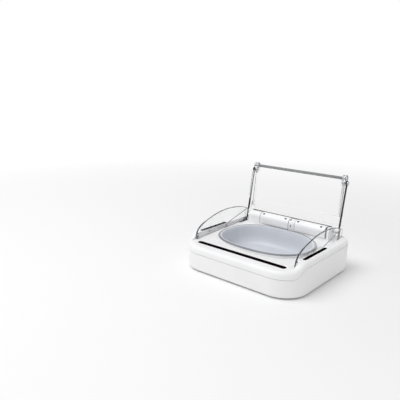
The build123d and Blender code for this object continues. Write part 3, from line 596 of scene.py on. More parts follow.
@dataclass
class SubAssembly:
    """A group of pieces: CAD nodes that keep their shape, and pieces added to them or put in their place."""

    looks: Looks

    def build(self) -> None:
        """Gives the nodes their finish and soft edges, then adds the new pieces."""
        for names, kind, edge_mm in self.looks:
            for name in names:
                coat(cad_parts[name], kind, edge_mm)
                log.info("%s: %s", name, kind.name)
        self.add_pieces()

    def add_pieces(self) -> None:
        """Adds the new pieces, where the group has any."""


@dataclass(frozen=True)
class CrossScrew:
    """A pan-head screw with a cross recess."""

    head_radius: float
    head_height: float
    shank_radius: float
    shank_length: float
    recess_depth: float
    sides: int = 28
    point: Pair = (1.2, 0.4)
    crown: Sequence[Pair] = ((0.45, 1.0), (0.8, 0.93), (0.97, 0.78), (1.0, 0.68))
    cross_reach: float = 0.52
    cross_half_width: float = 0.15

    def add(self, shape: Shape, seat: Point, outward: Point) -> None:
        """Adds the screw to a shape.

        Args:
            shape: The shape.
            seat: The middle of the face that the head bears on.
            outward: The direction that the head faces.
        """
        head = self.head_radius
        top = self.head_height
        shank = self.shank_radius
        taper, tip = self.point
        profile = [
            (-self.shank_length, shank * tip),
            (-self.shank_length + taper * shank, shank),
            (0.0, shank),
            (0.0, head),
        ]
        profile += [(top * height, head * reach) for height, reach in self.crown]
        rim = add_turned(shape, profile, seat, outward, self.sides, open_end=True)
        ahead = Vector(outward).normalized()
        across = ahead.orthogonal().normalized()
        up = ahead.cross(across)
        arm = head * self.cross_reach
        half = head * self.cross_half_width
        corners = []
        for quarter in range(4):
            turn = quarter * math.pi / 2
            for a, b in ((half, -half), (arm, -half), (arm, half)):
                x = a * math.cos(turn) - b * math.sin(turn)
                y = a * math.sin(turn) + b * math.cos(turn)
                corners.append(Vector(seat) + top * ahead + x * across + y * up)
        cross = [shape.verts.new(c) for c in corners]
        loops = [shape.edges.new(pair) for pair in zip(cross, cross[1:] + cross[:1])]
        loops += [e for e in {e for v in rim for e in v.link_edges} if all(v in rim for v in e.verts)]
        bmesh.ops.triangle_fill(shape, edges=loops, use_beauty=True)
        floor = [shape.verts.new(c - self.recess_depth * ahead) for c in corners]
        add_skin(shape, cross, floor)
        shape.faces.new(floor)


@dataclass(frozen=True)
class Lens:
    """A slim dark lens with round ends, slightly crowned, laid in the housing's top."""

    node: str
    middle: Pair
    length: float
    width: float
    along_x: bool
    end_steps: int = 12

    def outline(self, inset: float) -> list[Pair]:
        """Gives the lens's outline seen from above.

        Args:
            inset: How far inside the lens's edge.

        Returns:
            Its (x, y) points.
        """
        radius = self.width / 2 - inset
        reach = self.length / 2 - self.width / 2
        points = []
        for end in (1, -1):
            for i in range(self.end_steps + 1):
                turn = math.pi * (i / self.end_steps - 0.5) + (0.0 if end > 0 else math.pi)
                a = end * reach + radius * math.cos(turn)
                b = radius * math.sin(turn)
                x, y = (a, b) if self.along_x else (-b, a)
                points.append((self.middle[0] + x, self.middle[1] + y))
        return points


@dataclass
class Housing(SubAssembly):
    """The white base in two shells, a grey cord in their seam as painted shade, and the dark lenses over the
    sensors.
    """

    looks: Looks = ((("lower_housing", "upper_housing"), HOUSING_ABS, 0.25),)
    half_width: float = 115.5
    half_depth: float = 102.5
    front_radius: float = 45.0
    back_radius: float = 30.0
    seam_front_z: float = 32.5
    seam_back_z: float = 48.0
    rise_front_y: float = -88.0
    rise_back_y: float = -60.0
    seam_bend: Pair = (0.42, 0.58)
    seam_halvings: int = 24
    seam_cord_radius: float = 0.3
    seam_cord_inset: float = 0.4
    seam_cord_step: float = 2.0
    corner_steps: int = 16
    deck_y: float = -70.0
    deck_z: float = 46.0
    deck_slope: float = 0.035
    shoulder_z: float = 57.0
    lens_edge: Sequence[Pair] = ((0.0, -0.5), (0.0, 0.22), (0.25, 0.42), (0.9, 0.5))
    lens_ridge: Pair = (0.8, 0.62)
    lenses: Sequence[Lens] = (
        Lens("sensor_window_front", (0.0, -80.0), 177.0, 9.0, True),
        Lens("sensor_window_left", (-105.0, -20.5), 73.0, 6.2, False),
        Lens("sensor_window_right", (105.0, -20.5), 73.0, 6.2, False),
    )

    def add_pieces(self) -> None:
        """Adds the seam's painted-shade cord and the lenses."""
        self.add_seam_shade_cord()
        for lens in self.lenses:
            self.add_lens(lens)

    def seam_height(self, y: float) -> float:
        """Gives the height of the seam, which steps up in an S behind the front band.

        Args:
            y: How far to the rear.

        Returns:
            The height.
        """
        if y <= self.rise_front_y:
            return self.seam_front_z
        if y >= self.rise_back_y:
            return self.seam_back_z
        run = self.rise_back_y - self.rise_front_y
        first, second = self.seam_bend
        low = 0.0
        high = 1.0
        for _ in range(self.seam_halvings):
            t = (low + high) / 2
            bend = 3 * first * t * (1 - t) ** 2 + 3 * second * t * t * (1 - t) + t ** 3
            if self.rise_front_y + run * bend < y:
                low = t
            else:
                high = t
        return self.seam_front_z + (self.seam_back_z - self.seam_front_z) * (3 * low * low - 2 * low ** 3)

    def add_seam_shade_cord(self) -> None:
        """Adds a grey cord in the gap under the seam, as painted shade that draws the seam as a dark line."""
        corners = (
            (1, 1, self.back_radius, 0.0), (-1, 1, self.back_radius, 0.5),
            (-1, -1, self.front_radius, 1.0), (1, -1, self.front_radius, 1.5),
        )
        outline = []
        for way_x, way_y, radius, start in corners:
            for i in range(self.corner_steps + 1):
                turn = math.pi * (start + 0.5 * i / self.corner_steps)
                reach = radius - self.seam_cord_inset
                x = way_x * (self.half_width - radius) + reach * math.cos(turn)
                y = way_y * (self.half_depth - radius) + reach * math.sin(turn)
                outline.append(Vector((x, y)))
        path = []
        for first, second in zip(outline, outline[1:] + outline[:1]):
            steps = max(1, int((second - first).length / self.seam_cord_step))
            for i in range(steps):
                spot = first.lerp(second, i / steps)
                path.append((spot.x, spot.y, self.seam_height(spot.y) - self.seam_cord_radius))
        # Painted shade: a grey cord that darkens the seam's gap.
        shape = bmesh.new()
        add_tube(shape, path, self.seam_cord_radius, sides=8, closed=True)
        add_piece("seam_shade_cord", shape, GREY_TPE_AND_SEAM_SHADE, "housing")

    def add_lens(self, lens: Lens) -> None:
        """Adds one crowned lens in place of its plain node.

        Args:
            lens: The lens.
        """
        half_ridge, ridge_z = self.lens_ridge
        crown = (*self.lens_edge, (lens.width / 2 - half_ridge, ridge_z))
        shape = bmesh.new()
        rings = []
        for inset, lift in crown:
            ring = []
            for x, y in lens.outline(inset):
                base = self.shoulder_z
                if lens.along_x:
                    base = self.deck_z + self.deck_slope * (y - self.deck_y)
                ring.append(shape.verts.new((x, y, base + lift)))
            rings.append(ring)
        for first, second in zip(rings, rings[1:]):
            add_skin(shape, first, second)
        shape.faces.new(rings[0])
        shape.faces.new(rings[-1])
        name = lens.node.replace("window", "lens")
        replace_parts(add_piece(name, shape, WINDOW_PMMA, "housing"), lens.node)


@dataclass
class FeedingBowl(SubAssembly):
    """The grey oval bowl that lifts out, with its rolled rim, and the ring that it sits on."""

    looks: Looks = ((("bowl_seal",), SEAL_SILICONE, 0.0),)
    middle_y: float = -3.0
    half_x: float = 87.6
    half_y: float = 64.0
    power: float = 2.4
    steps: int = 200
    rear_rise: float = 2.5
    rise_from: float = 8.0
    rise_z: Pair = (51.3, 52.0)
    wall: Sequence[Pair] = (
        (40.0, 18.0), (21.0, 18.0), (18.0, 18.5), (15.0, 20.0), (12.5, 22.4), (10.4, 26.0), (8.6, 30.0),
        (7.2, 35.0), (6.1, 42.0), (5.4, 51.0), (1.2, 51.25), (1.2, 52.2), (2.9, 52.8), (4.4, 52.9),
        (5.8, 52.5), (6.6, 51.5), (7.4, 49.0), (8.3, 42.0), (9.2, 34.8), (10.4, 30.6), (11.8, 27.3),
        (13.2, 24.8), (15.0, 22.6), (17.4, 20.8), (20.0, 20.0), (23.0, 19.8), (40.0, 19.8),
    )
    rim: Sequence[Pair] = (
        (0.9, 51.2), (0.15, 51.3), (0.0, 51.7), (0.3, 52.3), (0.9, 52.8), (1.8, 53.1), (2.7, 53.15),
        (3.4, 52.95), (3.6, 52.5), (2.4, 52.2),
    )

    def add_pieces(self) -> None:
        """Makes the bowl and its rim."""
        self.add_body()
        self.add_rim()

    def oval(self, inset: float, height: float) -> list[Point]:
        """Gives the points of an oval inside the rim's edge.

        Args:
            inset: How far inside.
            height: Its height.

        Returns:
            The points.
        """
        points = []
        for i in range(self.steps):
            turn = 2 * math.pi * i / self.steps
            c = math.cos(turn)
            s = math.sin(turn)
            x = math.copysign(abs(c) ** (2 / self.power), c) * (self.half_x - inset)
            y = math.copysign(abs(s) ** (2 / self.power), s) * (self.half_y - inset) + self.middle_y
            points.append((x, y, height + self.rise(y, height)))
        return points

    def rise(self, y: float, height: float) -> float:
        """Gives how far the rim is raised at a place, which is only towards the hinge.

        Args:
            y: The place along Y.
            height: The height without the rise.

        Returns:
            The rise.
        """
        along = min(1.0, max(0.0, (y - self.rise_from) / (self.middle_y + self.half_y - self.rise_from)))
        low, high = self.rise_z
        share = min(1.0, max(0.0, (height - low) / (high - low)))
        return self.rear_rise * share * along * along * (3 - 2 * along)

    def rings(self, shape: Shape, profile: Sequence[Pair], closed: bool) -> None:
        """Adds a skin through ovals to a shape.

        Args:
            shape: The shape.
            profile: Pairs of inset and height.
            closed: Whether the last oval joins the first; otherwise both ends are filled to their centre.
        """
        rings = [[shape.verts.new(point) for point in self.oval(inset, z)] for inset, z in profile]
        for first, second in zip(rings, rings[1:]):
            add_skin(shape, first, second)
        if closed:
            add_skin(shape, rings[-1], rings[0])
            return
        for ring, (_, height) in ((rings[0], profile[0]), (rings[-1], profile[-1])):
            centre = shape.verts.new((0.0, self.middle_y, height))
            for first, second in zip(ring, ring[1:] + ring[:1]):
                shape.faces.new((first, second, centre))

    def add_body(self) -> None:
        """Makes the bowl's wall and floor, with the soft curve between them."""
        shape = bmesh.new()
        self.rings(shape, self.wall, closed=False)
        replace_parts(add_piece("bowl_wall", shape, BOWL_PP, "feeding_bowl"), "bowl")

    def add_rim(self) -> None:
        """Makes the rim, which rolls down to the outside, coloured a deeper grey as painted shade for its
        turned-down edge.
        """
        shape = bmesh.new()
        self.rings(shape, self.rim, closed=True)
        # Painted shade: the rim's deeper grey stands in for shade along its rolled edge.
        add_piece("bowl_rolled_rim", shape, RIM_PP_PAINTED_SHADE, "feeding_bowl")


@dataclass
class SideGuards(SubAssembly):
    """The clear plates beside the bowl, each with a rib, a thick front lip and a toe, and their screws."""

    looks: Looks = ((("side_guard_left", "side_guard_right"), CLEAR_PC, 0.25),)
    inner_x: float = 99.0
    thickness: float = 2.4
    rib_line: Sequence[Pair] = ((77.0, 73.4), (13.5, 56.8), (9.0, 49.4))
    rib_radius: float = 0.65
    rib_proud: float = 0.6
    rim_line: Sequence[Pair] = (
        (-57.5, 69.4), (-45.0, 74.6), (-28.5, 79.4), (-11.0, 82.8), (5.5, 84.5), (22.0, 84.8), (40.0, 83.3),
        (57.0, 80.8), (70.0, 77.2), (80.0, 73.4),
    )
    rim_radius: float = 0.7
    lip_line: Sequence[Pair] = (
        (-72.4, 47.3), (-73.2, 51.5), (-71.6, 57.8), (-66.8, 64.2), (-57.5, 69.4),
    )
    lip_radius: float = 1.3
    toe: Sequence[Pair] = (
        (-73.6, 47.6), (-74.3, 49.6), (-73.7, 51.6), (-71.6, 52.6), (-69.4, 51.8), (-68.4, 49.8),
        (-68.6, 47.6),
    )
    toe_width: float = 3.2
    toe_edge_mm: float = 0.3
    rivet_place: Pair = (-70.2, 56.2)
    rivet_proud: float = 0.4
    rivet_profile: Sequence[Pair] = ((0.0, 0.9), (0.25, 1.05), (2.95, 1.05), (3.2, 0.9))
    screw_places: Sequence[Pair] = ((-40.0, 53.5), (10.0, 54.5))
    screw: CrossScrew = CrossScrew(1.9, 0.8, 1.0, 2.5, 0.5)

    def add_pieces(self) -> None:
        """Adds ribs, lips, rims, toes and screws."""
        shape = bmesh.new()
        for side in Side:
            self.add_rib(side)
            self.add_lip(side)
            self.add_toe(side)
            for y, z in self.screw_places:
                self.screw.add(shape, (side.value * self.inner_x, y, z), (-side.value, 0, 0))
        piece = add_piece("guard_cross_screws", shape, STEEL_DRAWN, "housing")
        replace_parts(piece, "guard_screws")

    def add_rib(self, side: Side) -> None:
        """Adds the slanting rib that stiffens a plate behind the bowl.

        Args:
            side: Which plate.
        """
        shape = bmesh.new()
        x = side.value * (self.inner_x - self.rib_radius * self.rib_proud)
        add_tube(shape, [(x, y, z) for y, z in self.rib_line], self.rib_radius)
        add_piece(f"guard_rib_{side.label}", shape, GREY_TPE_AND_SEAM_SHADE, "housing")

    def add_lip(self, side: Side) -> None:
        """Adds the thick rounded lip at a plate's front end and the finer rim along its arch.

        Args:
            side: Which plate.
        """
        shape = bmesh.new()
        x = side.value * (self.inner_x + self.thickness / 2)
        for line, radius in ((self.lip_line, self.lip_radius), (self.rim_line, self.rim_radius)):
            add_tube(shape, [(x, y, z) for y, z in line], radius, sides=12)
        # Painted shade: the grey tint of lip and rim stands in for the dark edge lines of clear plastic.
        add_piece(f"guard_lip_{side.label}", shape, EDGE_PC_PAINTED_SHADE, "housing")

    def add_toe(self, side: Side) -> None:
        """Adds the rubber toe that seats a plate's front end on the deck, and the rivet above it.

        Args:
            side: Which plate.
        """
        middle = self.inner_x + self.thickness / 2
        ends = sorted(side.value * (middle + half * self.toe_width / 2) for half in (-1, 1))
        shape = bmesh.new()
        add_prism(shape, self.toe, ends[0], ends[1])
        add_piece(f"guard_toe_{side.label}", shape, GREY_TPE_AND_SEAM_SHADE, "housing", self.toe_edge_mm)
        y, z = self.rivet_place
        rivet = bmesh.new()
        start = side.value * (self.inner_x - self.rivet_proud)
        add_turned(rivet, self.rivet_profile, (start, y, z), (side.value, 0, 0), sides=20)
        add_piece(f"guard_rivet_{side.label}", rivet, STEEL_BLACK, "housing")


@dataclass
class HingeUnit(SubAssembly):
    """The rounded housing behind the bowl, its two covers, the clip between them and their screws."""

    looks: Looks = ((("hinge_housing",), COVER_ABS, 0.35),)
    covers: Sequence[tuple[str, float, float]] = (
        ("hinge_cover_left", -57.4, 5.8), ("hinge_cover_right", 17.6, 78.5),
    )
    cover_edge_mm: float = 0.3
    cover_gap: float = 0.9
    cover_lift: float = 0.4
    cover_wall: float = 1.6
    cover_foot_z: float = 55.8
    cover_back_y: float = 76.2
    seams: Sequence[tuple[str, float, float]] = (
        ("left", -57.0, 0.45), ("middle", 18.1, 0.35), ("right", 77.95, 0.3),
    )
    seam_lift: float = 0.2
    seam_sunk: float = 0.3
    strip_place: Pair = (77.3, 74.75)
    strip_radius: float = 0.75
    strip_reach: float = 83.6
    front_y: float = 62.0
    top_z: float = 74.3
    nose_radius: float = 8.5
    nose_top_deg: int = 90
    nose_step_deg: int = 6
    clip_from: float = 6.6
    clip_to: float = 14.4
    clip_thickness: float = 0.7
    clip_edge_mm: float = 0.2
    clip_foot_z: Pair = (58.5, 58.0)
    clip_top_deg: int = 100
    clip_step_deg: int = 10
    slot_from: float = 9.7
    slot_to: float = 11.3
    slot_z: Pair = (61.4, 65.8)
    slot_proud: float = 0.06
    slot_depth: float = 0.3
    screw_x: Sequence[float] = (-50.5, -3.0, 8.5, 23.5, 69.0)
    screw_angle_deg: float = 118.0
    screw: CrossScrew = CrossScrew(2.0, 0.8, 0.8, 4.0, 0.5)

    def add_pieces(self) -> None:
        """Adds the covers with their seams, the strip behind them, the clip and the screws."""
        self.add_covers()
        self.add_seams()
        self.add_strip()
        self.add_clip()
        self.add_screws()

    def nose(self, angle_deg: float, lift: float) -> Pair:
        """Gives a point on or above the rounded front edge.

        Args:
            angle_deg: The angle from +Y towards +Z.
            lift: How far above the surface.

        Returns:
            Its y and z.
        """
        turn = math.radians(angle_deg)
        reach = self.nose_radius + lift
        centre_y = self.front_y + self.nose_radius
        centre_z = self.top_z - self.nose_radius
        return (centre_y + reach * math.cos(turn), centre_z + reach * math.sin(turn))

    def arc(self, top_deg: int, step_deg: int, lift: float) -> list[Pair]:
        """Gives points up the rounded front edge, from its upright face on.

        Args:
            top_deg: The angle from +Y towards +Z that they end at.
            step_deg: The angle between them.
            lift: How far above the surface.

        Returns:
            Their y and z.
        """
        return [self.nose(angle, lift) for angle in range(180, top_deg - 1, -step_deg)]

    def add_covers(self) -> None:
        """Adds the two raised covers in place of the plain ones, with a shadow gap all round."""
        inside = self.cover_lift - self.cover_wall
        outline = [
            (self.front_y - self.cover_lift, self.cover_foot_z),
            *self.arc(self.nose_top_deg, self.nose_step_deg, self.cover_lift),
            (self.cover_back_y, self.top_z + self.cover_lift),
            (self.cover_back_y, self.top_z + inside),
            *reversed(self.arc(self.nose_top_deg, self.nose_step_deg, inside)),
            (self.front_y - inside, self.cover_foot_z),
        ]
        for node, start, end in self.covers:
            shape = bmesh.new()
            add_prism(shape, outline, start + self.cover_gap, end - self.cover_gap)
            piece = add_piece(f"{node}_raised", shape, COVER_ABS, "housing", self.cover_edge_mm)
            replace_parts(piece, node)

    def add_seams(self) -> None:
        """Adds a grey strip in the gap beside each cover, as painted shade that shows the gap as a fine line.
        """
        outline = [
            (self.front_y - self.seam_lift, self.cover_foot_z),
            *self.arc(self.nose_top_deg, self.nose_step_deg, self.seam_lift),
            *reversed(self.arc(self.nose_top_deg, self.nose_step_deg, -self.seam_sunk)),
            (self.front_y + self.seam_sunk, self.cover_foot_z),
        ]
        # Painted shade: grey strips that darken the gaps beside the covers.
        for name, x, half_width in self.seams:
            shape = bmesh.new()
            add_prism(shape, outline, x - half_width, x + half_width)
            add_piece(f"hinge_seam_shade_{name}", shape, GREY_TPE_AND_SEAM_SHADE, "housing")

    def add_strip(self) -> None:
        """Adds the dark sealing strip along the top, just behind the covers."""
        shape = bmesh.new()
        y, z = self.strip_place
        add_tube(shape, [(-self.strip_reach, y, z), (0.0, y, z), (self.strip_reach, y, z)], self.strip_radius)
        add_piece("hinge_top_strip", shape, FOOT_RUBBER, "housing")

    def add_clip(self) -> None:
        """Adds the curved clip between the covers, with a black plate on its face as painted shade for its
        slot.
        """
        face = self.front_y - self.clip_thickness
        outline = [
            (face, self.clip_foot_z[0]),
            *self.arc(self.clip_top_deg, self.clip_step_deg, self.clip_thickness),
            *reversed(self.arc(self.clip_top_deg, self.clip_step_deg, 0.0)),
            (self.front_y, self.clip_foot_z[1]),
        ]
        shape = bmesh.new()
        add_prism(shape, outline, self.clip_from, self.clip_to)
        add_piece("hinge_clip", shape, COVER_ABS, "housing", self.clip_edge_mm)
        low, high = self.slot_z
        front = face - self.slot_proud
        back = face + self.slot_depth
        # Painted shade: a thin black plate where the slot's opening would be dark.
        slot = bmesh.new()
        corners = [(front, low), (front, high), (back, high), (back, low)]
        add_prism(slot, corners, self.slot_from, self.slot_to)
        add_piece("hinge_clip_slot_painted_shade", slot, WINDOW_PMMA, "housing")

    def add_screws(self) -> None:
        """Adds the screws along the covers' top edge."""
        shape = bmesh.new()
        y, z = self.nose(self.screw_angle_deg, 0.0)
        turn = math.radians(self.screw_angle_deg)
        for x in self.screw_x:
            self.screw.add(shape, (x, y, z), (0, math.cos(turn), math.sin(turn)))
        piece = add_piece("hinge_cross_screws", shape, STEEL_BLACK, "housing")
        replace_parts(piece, "hinge_cover_screws")


@dataclass
class FoldingLid(SubAssembly):
    """The two clear panels of the lid with their side rims, the grey bar along their fold, and its pins."""

    looks: Looks = (
        (("lid_rear_panel", "lid_front_panel"), CLEAR_PC, 0.25),
        (("fold_seal",), BAR_TPE, 0.0),
        (("fold_pins", "link_pins"), STEEL_DRAWN, 0.15),
    )
    flange_edge_mm: float = 0.3
    fold: Pair = (96.4, 159.5)
    front_angle_deg: float = 261.0
    flange: Sequence[Pair] = (
        (9.0, -4.0), (11.0, -8.5), (14.0, -10.6), (60.0, -10.6), (64.5, -9.0), (66.5, -4.0),
    )
    flange_x: Pair = (92.9, 94.3)
    hinge: Pair = (79.6, 66.0)
    rear_angle_deg: float = 83.0
    bead: Sequence[Pair] = ((14.0, -7.9), (50.0, -7.9), (84.0, -7.9))
    bead_x: float = 93.7
    bead_radius: float = 0.55
    knob_rings: Sequence[tuple[str, str, float, float]] = (
        ("outer", "lid_rear", 94.4, 5.3), ("inner", "lid_front", 88.2, 4.6),
    )
    ring_radius: float = 0.5
    ring_steps: int = 36

    def add_pieces(self) -> None:
        """Adds the side rims, the beads and the rings round the knobs."""
        for side in Side:
            self.add_flange(side)
            self.add_bead(side)
            self.add_knob_rings(side)

    def on_panel(self, origin: Pair, angle_deg: float, along: float, off: float) -> Pair:
        """Gives a point of a panel's own plane in the model's Y and Z.

        Args:
            origin: The axis that the panel turns on.
            angle_deg: The panel's angle from +Y towards +Z.
            along: The distance from the axis along the panel.
            off: The distance square to it.

        Returns:
            The point's y and z.
        """
        turn = math.radians(angle_deg)
        y = origin[0] + along * math.cos(turn) - off * math.sin(turn)
        z = origin[1] + along * math.sin(turn) + off * math.cos(turn)
        return (y, z)

    def add_knob_rings(self, side: Side) -> None:
        """Adds the raised rim round both faces of one side's fold knob.

        Args:
            side: Which side.
        """
        turns = [2 * math.pi * k / self.ring_steps for k in range(self.ring_steps)]
        for name, body, x, reach in self.knob_rings:
            path = [
                (side.value * x, self.fold[0] + reach * math.cos(turn), self.fold[1] + reach * math.sin(turn))
                for turn in turns
            ]
            shape = bmesh.new()
            add_tube(shape, path, self.ring_radius, closed=True)
            # Painted shade: the grey tint of the rings stands in for dark edge lines.
            add_piece(f"knob_ring_{name}_{side.label}", shape, EDGE_PC_PAINTED_SHADE, body)

    def add_flange(self, side: Side) -> None:
        """Adds the clear stiffening rim that stands up along one side of the front panel.

        Args:
            side: Which side.
        """
        outline = [self.on_panel(self.fold, self.front_angle_deg, along, off) for along, off in self.flange]
        shape = bmesh.new()
        add_prism(shape, outline, side.value * self.flange_x[0], side.value * self.flange_x[1])
        name = f"lid_side_rim_{side.label}"
        add_piece(name, shape, CLEAR_PC, "lid_front", self.flange_edge_mm)

    def add_bead(self, side: Side) -> None:
        """Adds the clear bead along one side of the rear panel.

        Args:
            side: Which side.
        """
        shape = bmesh.new()
        path = []
        for along, off in self.bead:
            y, z = self.on_panel(self.hinge, self.rear_angle_deg, along, off)
            path.append((side.value * self.bead_x, y, z))
        add_tube(shape, path, self.bead_radius, sides=12)
        # Painted shade: the grey tint of the bead stands in for a dark edge line.
        add_piece(f"lid_side_bead_{side.label}", shape, EDGE_PC_PAINTED_SHADE, "lid_rear")


@dataclass
class LidLinks(SubAssembly):
    """The dark rods beside the lid that fold its front panel, and their fixed pivots."""

    looks: Looks = (
        (("lid_link_left", "lid_link_right"), STEEL_BLACK, 0.3),
        (("link_pivots",), STEEL_DRAWN, 0.15),
    )


@dataclass
class LidDrive(SubAssembly):
    """The shaft, its bushes, the gear pair, and the motor with its clamp."""

    looks: Looks = (
        (("lid_shaft", "motor_output_shaft", "gear_motor"), STEEL_DRAWN, 0.1),
        (("lid_gear", "drive_gear"), GEAR_ACETAL, 0.0),
        (("shaft_bushes", "gear_motor_clamp"), GEAR_ACETAL, 0.1),
    )


@dataclass
class BatteryBay(SubAssembly):
    """The four cells in a row, their contacts and springs, and the two doors below."""

    looks: Looks = (
        (("battery_cells",), CELL_FILM, 0.4),
        (("battery_contacts",), STEEL_DRAWN, 0.08),
        (("battery_door_left", "battery_door_right"), HOUSING_ABS, 0.25),
    )
    cell_y: float = 80.0
    cell_z: float = 18.0
    cell_radius: float = 13.1
    cell_starts: Sequence[float] = (-101.5, -51.4, 2.7, 52.8)
    cell_length: float = 48.4
    cell_rim: Sequence[Pair] = ((-0.05, -2.2), (-0.05, -0.6), (0.25, 0.04), (1.4, 0.04))
    spring_starts: Sequence[float] = (-102.8, 1.4)
    spring_length: float = 1.2
    spring_margin: float = 0.3
    spring_turns: float = 3.25
    spring_steps: int = 90
    spring_reach: float = 6.0
    spring_taper: float = 3.4
    wire_radius: float = 0.28
    grip_y: Sequence[float] = (69.5, 71.0, 72.5, 74.0)
    grip_half_width: float = 9.0
    grip_foot: float = 0.5
    grip_crest: float = 0.3
    grip_depth: float = 0.45
    grip_edge_mm: float = 0.12
    door_z: float = 2.0
    door_middle_x: float = 52.0

    def add_pieces(self) -> None:
        """Adds cell ends, springs and grips."""
        self.add_cell_ends()
        self.add_springs()
        self.add_grips()

    def add_cell_ends(self) -> None:
        """Adds the bare steel rim at both ends of each cell."""
        shape = bmesh.new()
        profile = [(along, self.cell_radius + more) for along, more in self.cell_rim]
        for start in self.cell_starts:
            for place, way in ((start, 1), (start + self.cell_length, -1)):
                add_turned(shape, profile, (place, self.cell_y, self.cell_z), (way, 0, 0), sides=40)
        add_piece("battery_cell_rims", shape, STEEL_DRAWN, "housing")

    def add_springs(self) -> None:
        """Adds the conical contact springs, pressed nearly flat by the cells."""
        shape = bmesh.new()
        for start in self.spring_starts:
            path = []
            for i in range(self.spring_steps + 1):
                share = i / self.spring_steps
                turn = 2 * math.pi * self.spring_turns * share
                reach = self.spring_reach - self.spring_taper * share
                x = start + self.spring_margin + (self.spring_length - 2 * self.spring_margin) * share
                path.append((x, self.cell_y + reach * math.cos(turn), self.cell_z + reach * math.sin(turn)))
            add_tube(shape, path, self.wire_radius, sides=8)
        piece = add_piece("battery_coil_springs", shape, STEEL_DRAWN, "housing")
        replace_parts(piece, "battery_springs")

    def add_grips(self) -> None:
        """Adds the thumb ribs under each door's front edge."""
        for side in Side:
            shape = bmesh.new()
            middle = side.value * self.door_middle_x
            for y in self.grip_y:
                outline = [
                    (y - self.grip_foot, self.door_z),
                    (y + self.grip_foot, self.door_z),
                    (y + self.grip_crest, self.door_z - self.grip_depth),
                    (y - self.grip_crest, self.door_z - self.grip_depth),
                ]
                add_prism(shape, outline, middle - self.grip_half_width, middle + self.grip_half_width)
            name = f"door_grip_{side.label}"
            add_piece(name, shape, HOUSING_ABS, f"door_{side.label}", self.grip_edge_mm)


@dataclass
class Electronics(SubAssembly):
    """The boards and the diodes behind the windows."""

    looks: Looks = (
        (("control_board", "sensor_boards", "button_board"), BOARD_RESIST, 0.1),
        (("sensor_diodes",), WINDOW_PMMA, 0.1),
    )


@dataclass
class RearButtons(SubAssembly):
    """The two round push buttons at the back, each with a dished face."""

    looks: Looks = ()
    middle_x: float = 15.0
    middle_z: float = 41.0
    radius: float = 4.5
    face_y: float = 102.1
    profile: Sequence[Pair] = (
        (-4.1, 1.5), (-2.9, 1.5), (-2.9, 0.0), (-0.5, 0.0), (-0.15, -0.15), (0.0, -0.5), (0.0, -0.9),
        (-0.2, -1.5), (-0.45, -2.6), (-0.55, -3.9),
    )

    def add_pieces(self) -> None:
        """Replaces the plain buttons with dished ones, whose profile is given from the button's radius."""
        profile = [(along, self.radius + more) for along, more in self.profile]
        for x, node, body in (
            (-self.middle_x, "open_button", "button_open"),
            (self.middle_x, "training_button", "button_training"),
        ):
            shape = bmesh.new()
            add_turned(shape, profile, (x, self.face_y, self.middle_z), (0, 1, 0), sides=40)
            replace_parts(add_piece(f"{node}_dished", shape, BUTTON_ABS, body), node)


@dataclass
class Fixings(SubAssembly):
    """The screws that join the shells, and the rubber feet."""

    looks: Looks = ((("rubber_feet",), FOOT_RUBBER, 0.3),)
    places: Sequence[Pair] = ((-97, -80), (97, -80), (-107, 26), (107, 26), (-107, 55), (107, 55))
    seat_z: float = 5.0
    screw: CrossScrew = CrossScrew(2.8, 2.0, 1.3, 29.0, 1.1)

    def add_pieces(self) -> None:
        """Adds the screws."""
        shape = bmesh.new()
        for x, y in self.places:
            self.screw.add(shape, (x, y, self.seat_z), (0, 0, -1))
        piece = add_piece("housing_cross_screws", shape, STEEL_DRAWN, "housing")
        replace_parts(piece, "housing_screws")


